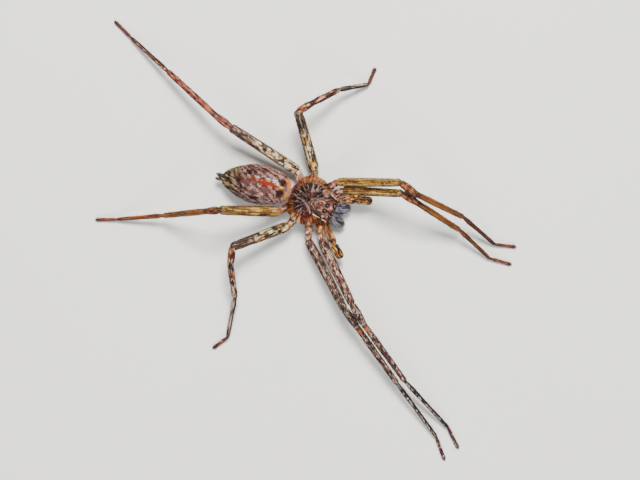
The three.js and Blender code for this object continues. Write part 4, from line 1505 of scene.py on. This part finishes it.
def solid_piece(name, shapes, material, nodes=()):
    """One smooth piece from several closed shapes, each points and triangles."""
    points = np.concatenate([p for p, _ in shapes])
    offsets = np.cumsum([0] + [len(p) for p, _ in shapes[:-1]])
    faces = np.concatenate([t + o for (_, t), o in zip(shapes, offsets)])
    mesh = new_mesh(name, points, faces)
    shade_smooth(mesh)
    piece = new_piece(name, mesh, material)
    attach(piece, "root")
    if nodes:
        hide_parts(*nodes)


# How much more than a ball each eye's lens bulges at its middle
BULGE = 0.07


def lens(eye):
    """A round lens that bulges a little more at its middle, turned the way the eye looks."""
    points, triangles = ball(0, 1, turns=18, sides=32)
    look = eye["look"]
    across = unit(np.cross(look, UP if abs(look[2]) < 0.9 else AHEAD))
    bulge = 1 + BULGE * np.clip(points[:, 2:], 0, 1) ** 3
    turned = points @ np.stack([across, np.cross(look, across), look])
    return eye["centre"] + turned * bulge * eye["radius"], triangles


def taper(path, radius, sides=8):
    """A closed spike along a path of points, round and tapering to its tip."""
    ways = unit(np.gradient(path, axis=0))
    across = unit(np.cross(ways, UP + [0.01, 0.02, 0.0]))
    radii = radius * (1 - 0.92 * np.linspace(0, 1, len(path)) ** 1.4)
    points = rounds(path, across, np.cross(ways, across), radii, radii, sides)
    return points, grid_triangles(len(path), sides)


def make_eyes():
    for node, eye in eyes.items():
        solid_piece(f"{node}_lens", [lens(eye)], CORNEA, [node])


def make_fangs():
    for side in SIDES:
        node = f"fang_{side}"
        jaw_end = limbs[f"chelicera_{side}"]["rows"][-1, :3]
        rows, _ = limb_rows([node], jaw_end)
        points, triangles, *_ = limb_tube(lengthen_root(rows, 0.35), 20, 0.07)
        solid_piece(f"{node}_hook", [(points, triangles)], FANG_CHITIN, [node])


# Length of the claws and their radius at the root, in mm
CLAW_LENGTH = 0.42
CLAW_RADIUS = 0.045


def make_claws():
    """Two small hooked claws at the end of each foot, half hidden in its tuft."""
    shapes = []
    for leg in LEGS:
        rows = limbs[leg]["rows"]
        tip = rows[-1, :3]
        way = unit(rows[-1, :3] - rows[-3, :3])
        across = unit(np.cross(UP, way))
        for side in (-1, 1):
            start = tip - way * 0.1 + across * side * 0.09 + UP * 0.08
            t = np.linspace(0, 1, 7)[:, None]
            path = start + way * CLAW_LENGTH * t + across * side * 0.08 * t
            path = path + UP * (0.14 * np.sin(np.pi * t * 0.75) - 0.17 * t**2)
            path[:, 2] = np.maximum(path[:, 2], CLAW_RADIUS)
            shapes.append(taper(path, CLAW_RADIUS))
    solid_piece("claws", shapes, CLAW_CHITIN)


# Spines on each leg: place in segments, and angle round the leg where 90 degrees is the top
SPINES = [
    (1.3, 60), (1.3, 130), (1.55, 50), (1.55, 125), (1.8, 55), (1.8, 128),
    (3.2, 20), (3.2, 160), (3.5, 30), (3.5, 150), (3.8, 15), (3.8, 165),
    (4.15, 10), (4.15, 170), (4.5, 25), (4.5, 155),
]  # fmt: skip
# Length of the spines and their radius at the root, in mm
SPINE_LENGTH = 1.15
SPINE_RADIUS = 0.042


def make_spines():
    """Thin dark spines in pairs along each leg, leaning towards the foot."""
    rng = np.random.default_rng(5)
    shapes = []
    for leg in LEGS:
        limb = limbs[leg]
        for place, degrees in SPINES:
            distance = np.interp(place + rng.uniform(-0.04, 0.04), range(7), segment_marks(leg))
            row, ahead = smooth(limb["stations"], limb["rows"], np.array([distance, distance + 0.2]))
            way = unit(ahead[:3] - row[:3])
            across = unit(np.cross(UP, way))
            turn = math.radians(degrees + rng.uniform(-8, 8))
            out = across * math.cos(turn) + np.cross(way, across) * math.sin(turn)
            root = row[:3] + out * (row[3] - 0.08)
            length = SPINE_LENGTH * rng.uniform(0.8, 1.15) * min(1.0, 0.45 + row[3])
            t = np.linspace(0, 1, 6)[:, None]
            path = root + out * length * 0.62 * t + way * length * (0.45 * t + 0.28 * t**2)
            shapes.append(taper(path, SPINE_RADIUS, 6))
    solid_piece("leg_spines", shapes, SPINE_CHITIN)


make_skin()
coat_rng = np.random.default_rng(11)
for coat_name, (coat_parts, tufts) in COATS.items():
    make_coat(coat_name, coat_parts, tufts, coat_rng)
make_eyes()
make_fangs()
make_claws()
make_spines()


# Camera, floor and light

# The camera looks straight down, as the photo does. The middle of the picture lies this far from the
# shield's middle, and the picture's top points this many degrees from the spider's rear towards its left.
PICTURE_MIDDLE = np.array([-5.584, -4.606])
CAMERA_HEIGHT = 400.0
PICTURE_TURN = 64.0
# The picture is this wide at the height of the spider's back
PICTURE_WIDTH = 115.2
BACK_HEIGHT = 4.0
SENSOR = 36.0


def add_camera():
    data = bpy.data.cameras.new("camera")
    data.sensor_width = SENSOR
    data.lens = SENSOR * (CAMERA_HEIGHT - BACK_HEIGHT) / PICTURE_WIDTH
    data.clip_start = 0.01
    data.clip_end = 10
    camera = bpy.data.objects.new("camera", data)
    bpy.context.scene.collection.objects.link(camera)
    middle = HOME[:2] + PICTURE_MIDDLE
    camera.location = (middle[0] * MM, middle[1] * MM, CAMERA_HEIGHT * MM)
    camera.rotation_euler = (0, 0, math.radians(-PICTURE_TURN))
    bpy.context.scene.camera = camera


def add_light(name, place, size, watts, tone):
    """A soft square lamp at a place in millimetres, facing the spider."""
    data = bpy.data.lights.new(name, "AREA")
    data.shape = "SQUARE"
    data.size = size * MM
    data.energy = watts
    data.color = tone
    lamp = bpy.data.objects.new(name, data)
    bpy.context.scene.collection.objects.link(lamp)
    lamp.location = Vector(place) * MM
    lamp.rotation_euler = (-Vector(place)).to_track_quat("-Z", "Y").to_euler()


# The floor reaches this far to every side and lies this far under the feet, in mm
FLOOR_REACH = 1500.0
FLOOR_DROP = 0.02


def add_stage():
    steps = 8
    line = np.linspace(-FLOOR_REACH, FLOOR_REACH, steps + 1)
    x, y = np.meshgrid(line, line, indexing="ij")
    points = np.stack([x, y, np.full_like(x, -FLOOR_DROP)], -1).reshape(-1, 3)
    i, k = np.meshgrid(np.arange(steps), np.arange(steps), indexing="ij")
    first = (i * (steps + 1) + k).ravel()
    faces = np.stack([first, first + steps + 1, first + steps + 2, first + 1], 1)
    floor = new_piece("floor", new_mesh("floor", points, faces), floor_card())


def add_world():
    """Faint bluish light from all sides, which softens the shadows."""
    world = bpy.data.worlds.new("studio")
    world.use_nodes = True
    sky = world.node_tree.nodes["Background"].inputs
    sky["Color"].default_value = (0.9, 0.95, 1.0, 1)
    sky["Strength"].default_value = 0.36
    bpy.context.scene.world = world


add_camera()
add_stage()
add_world()
add_light("key", (180, 60, 420), 130, 5.0, (1.0, 0.97, 0.93))
add_light("fill", (-260, -180, 300), 240, 1.4, (0.93, 0.96, 1.0))
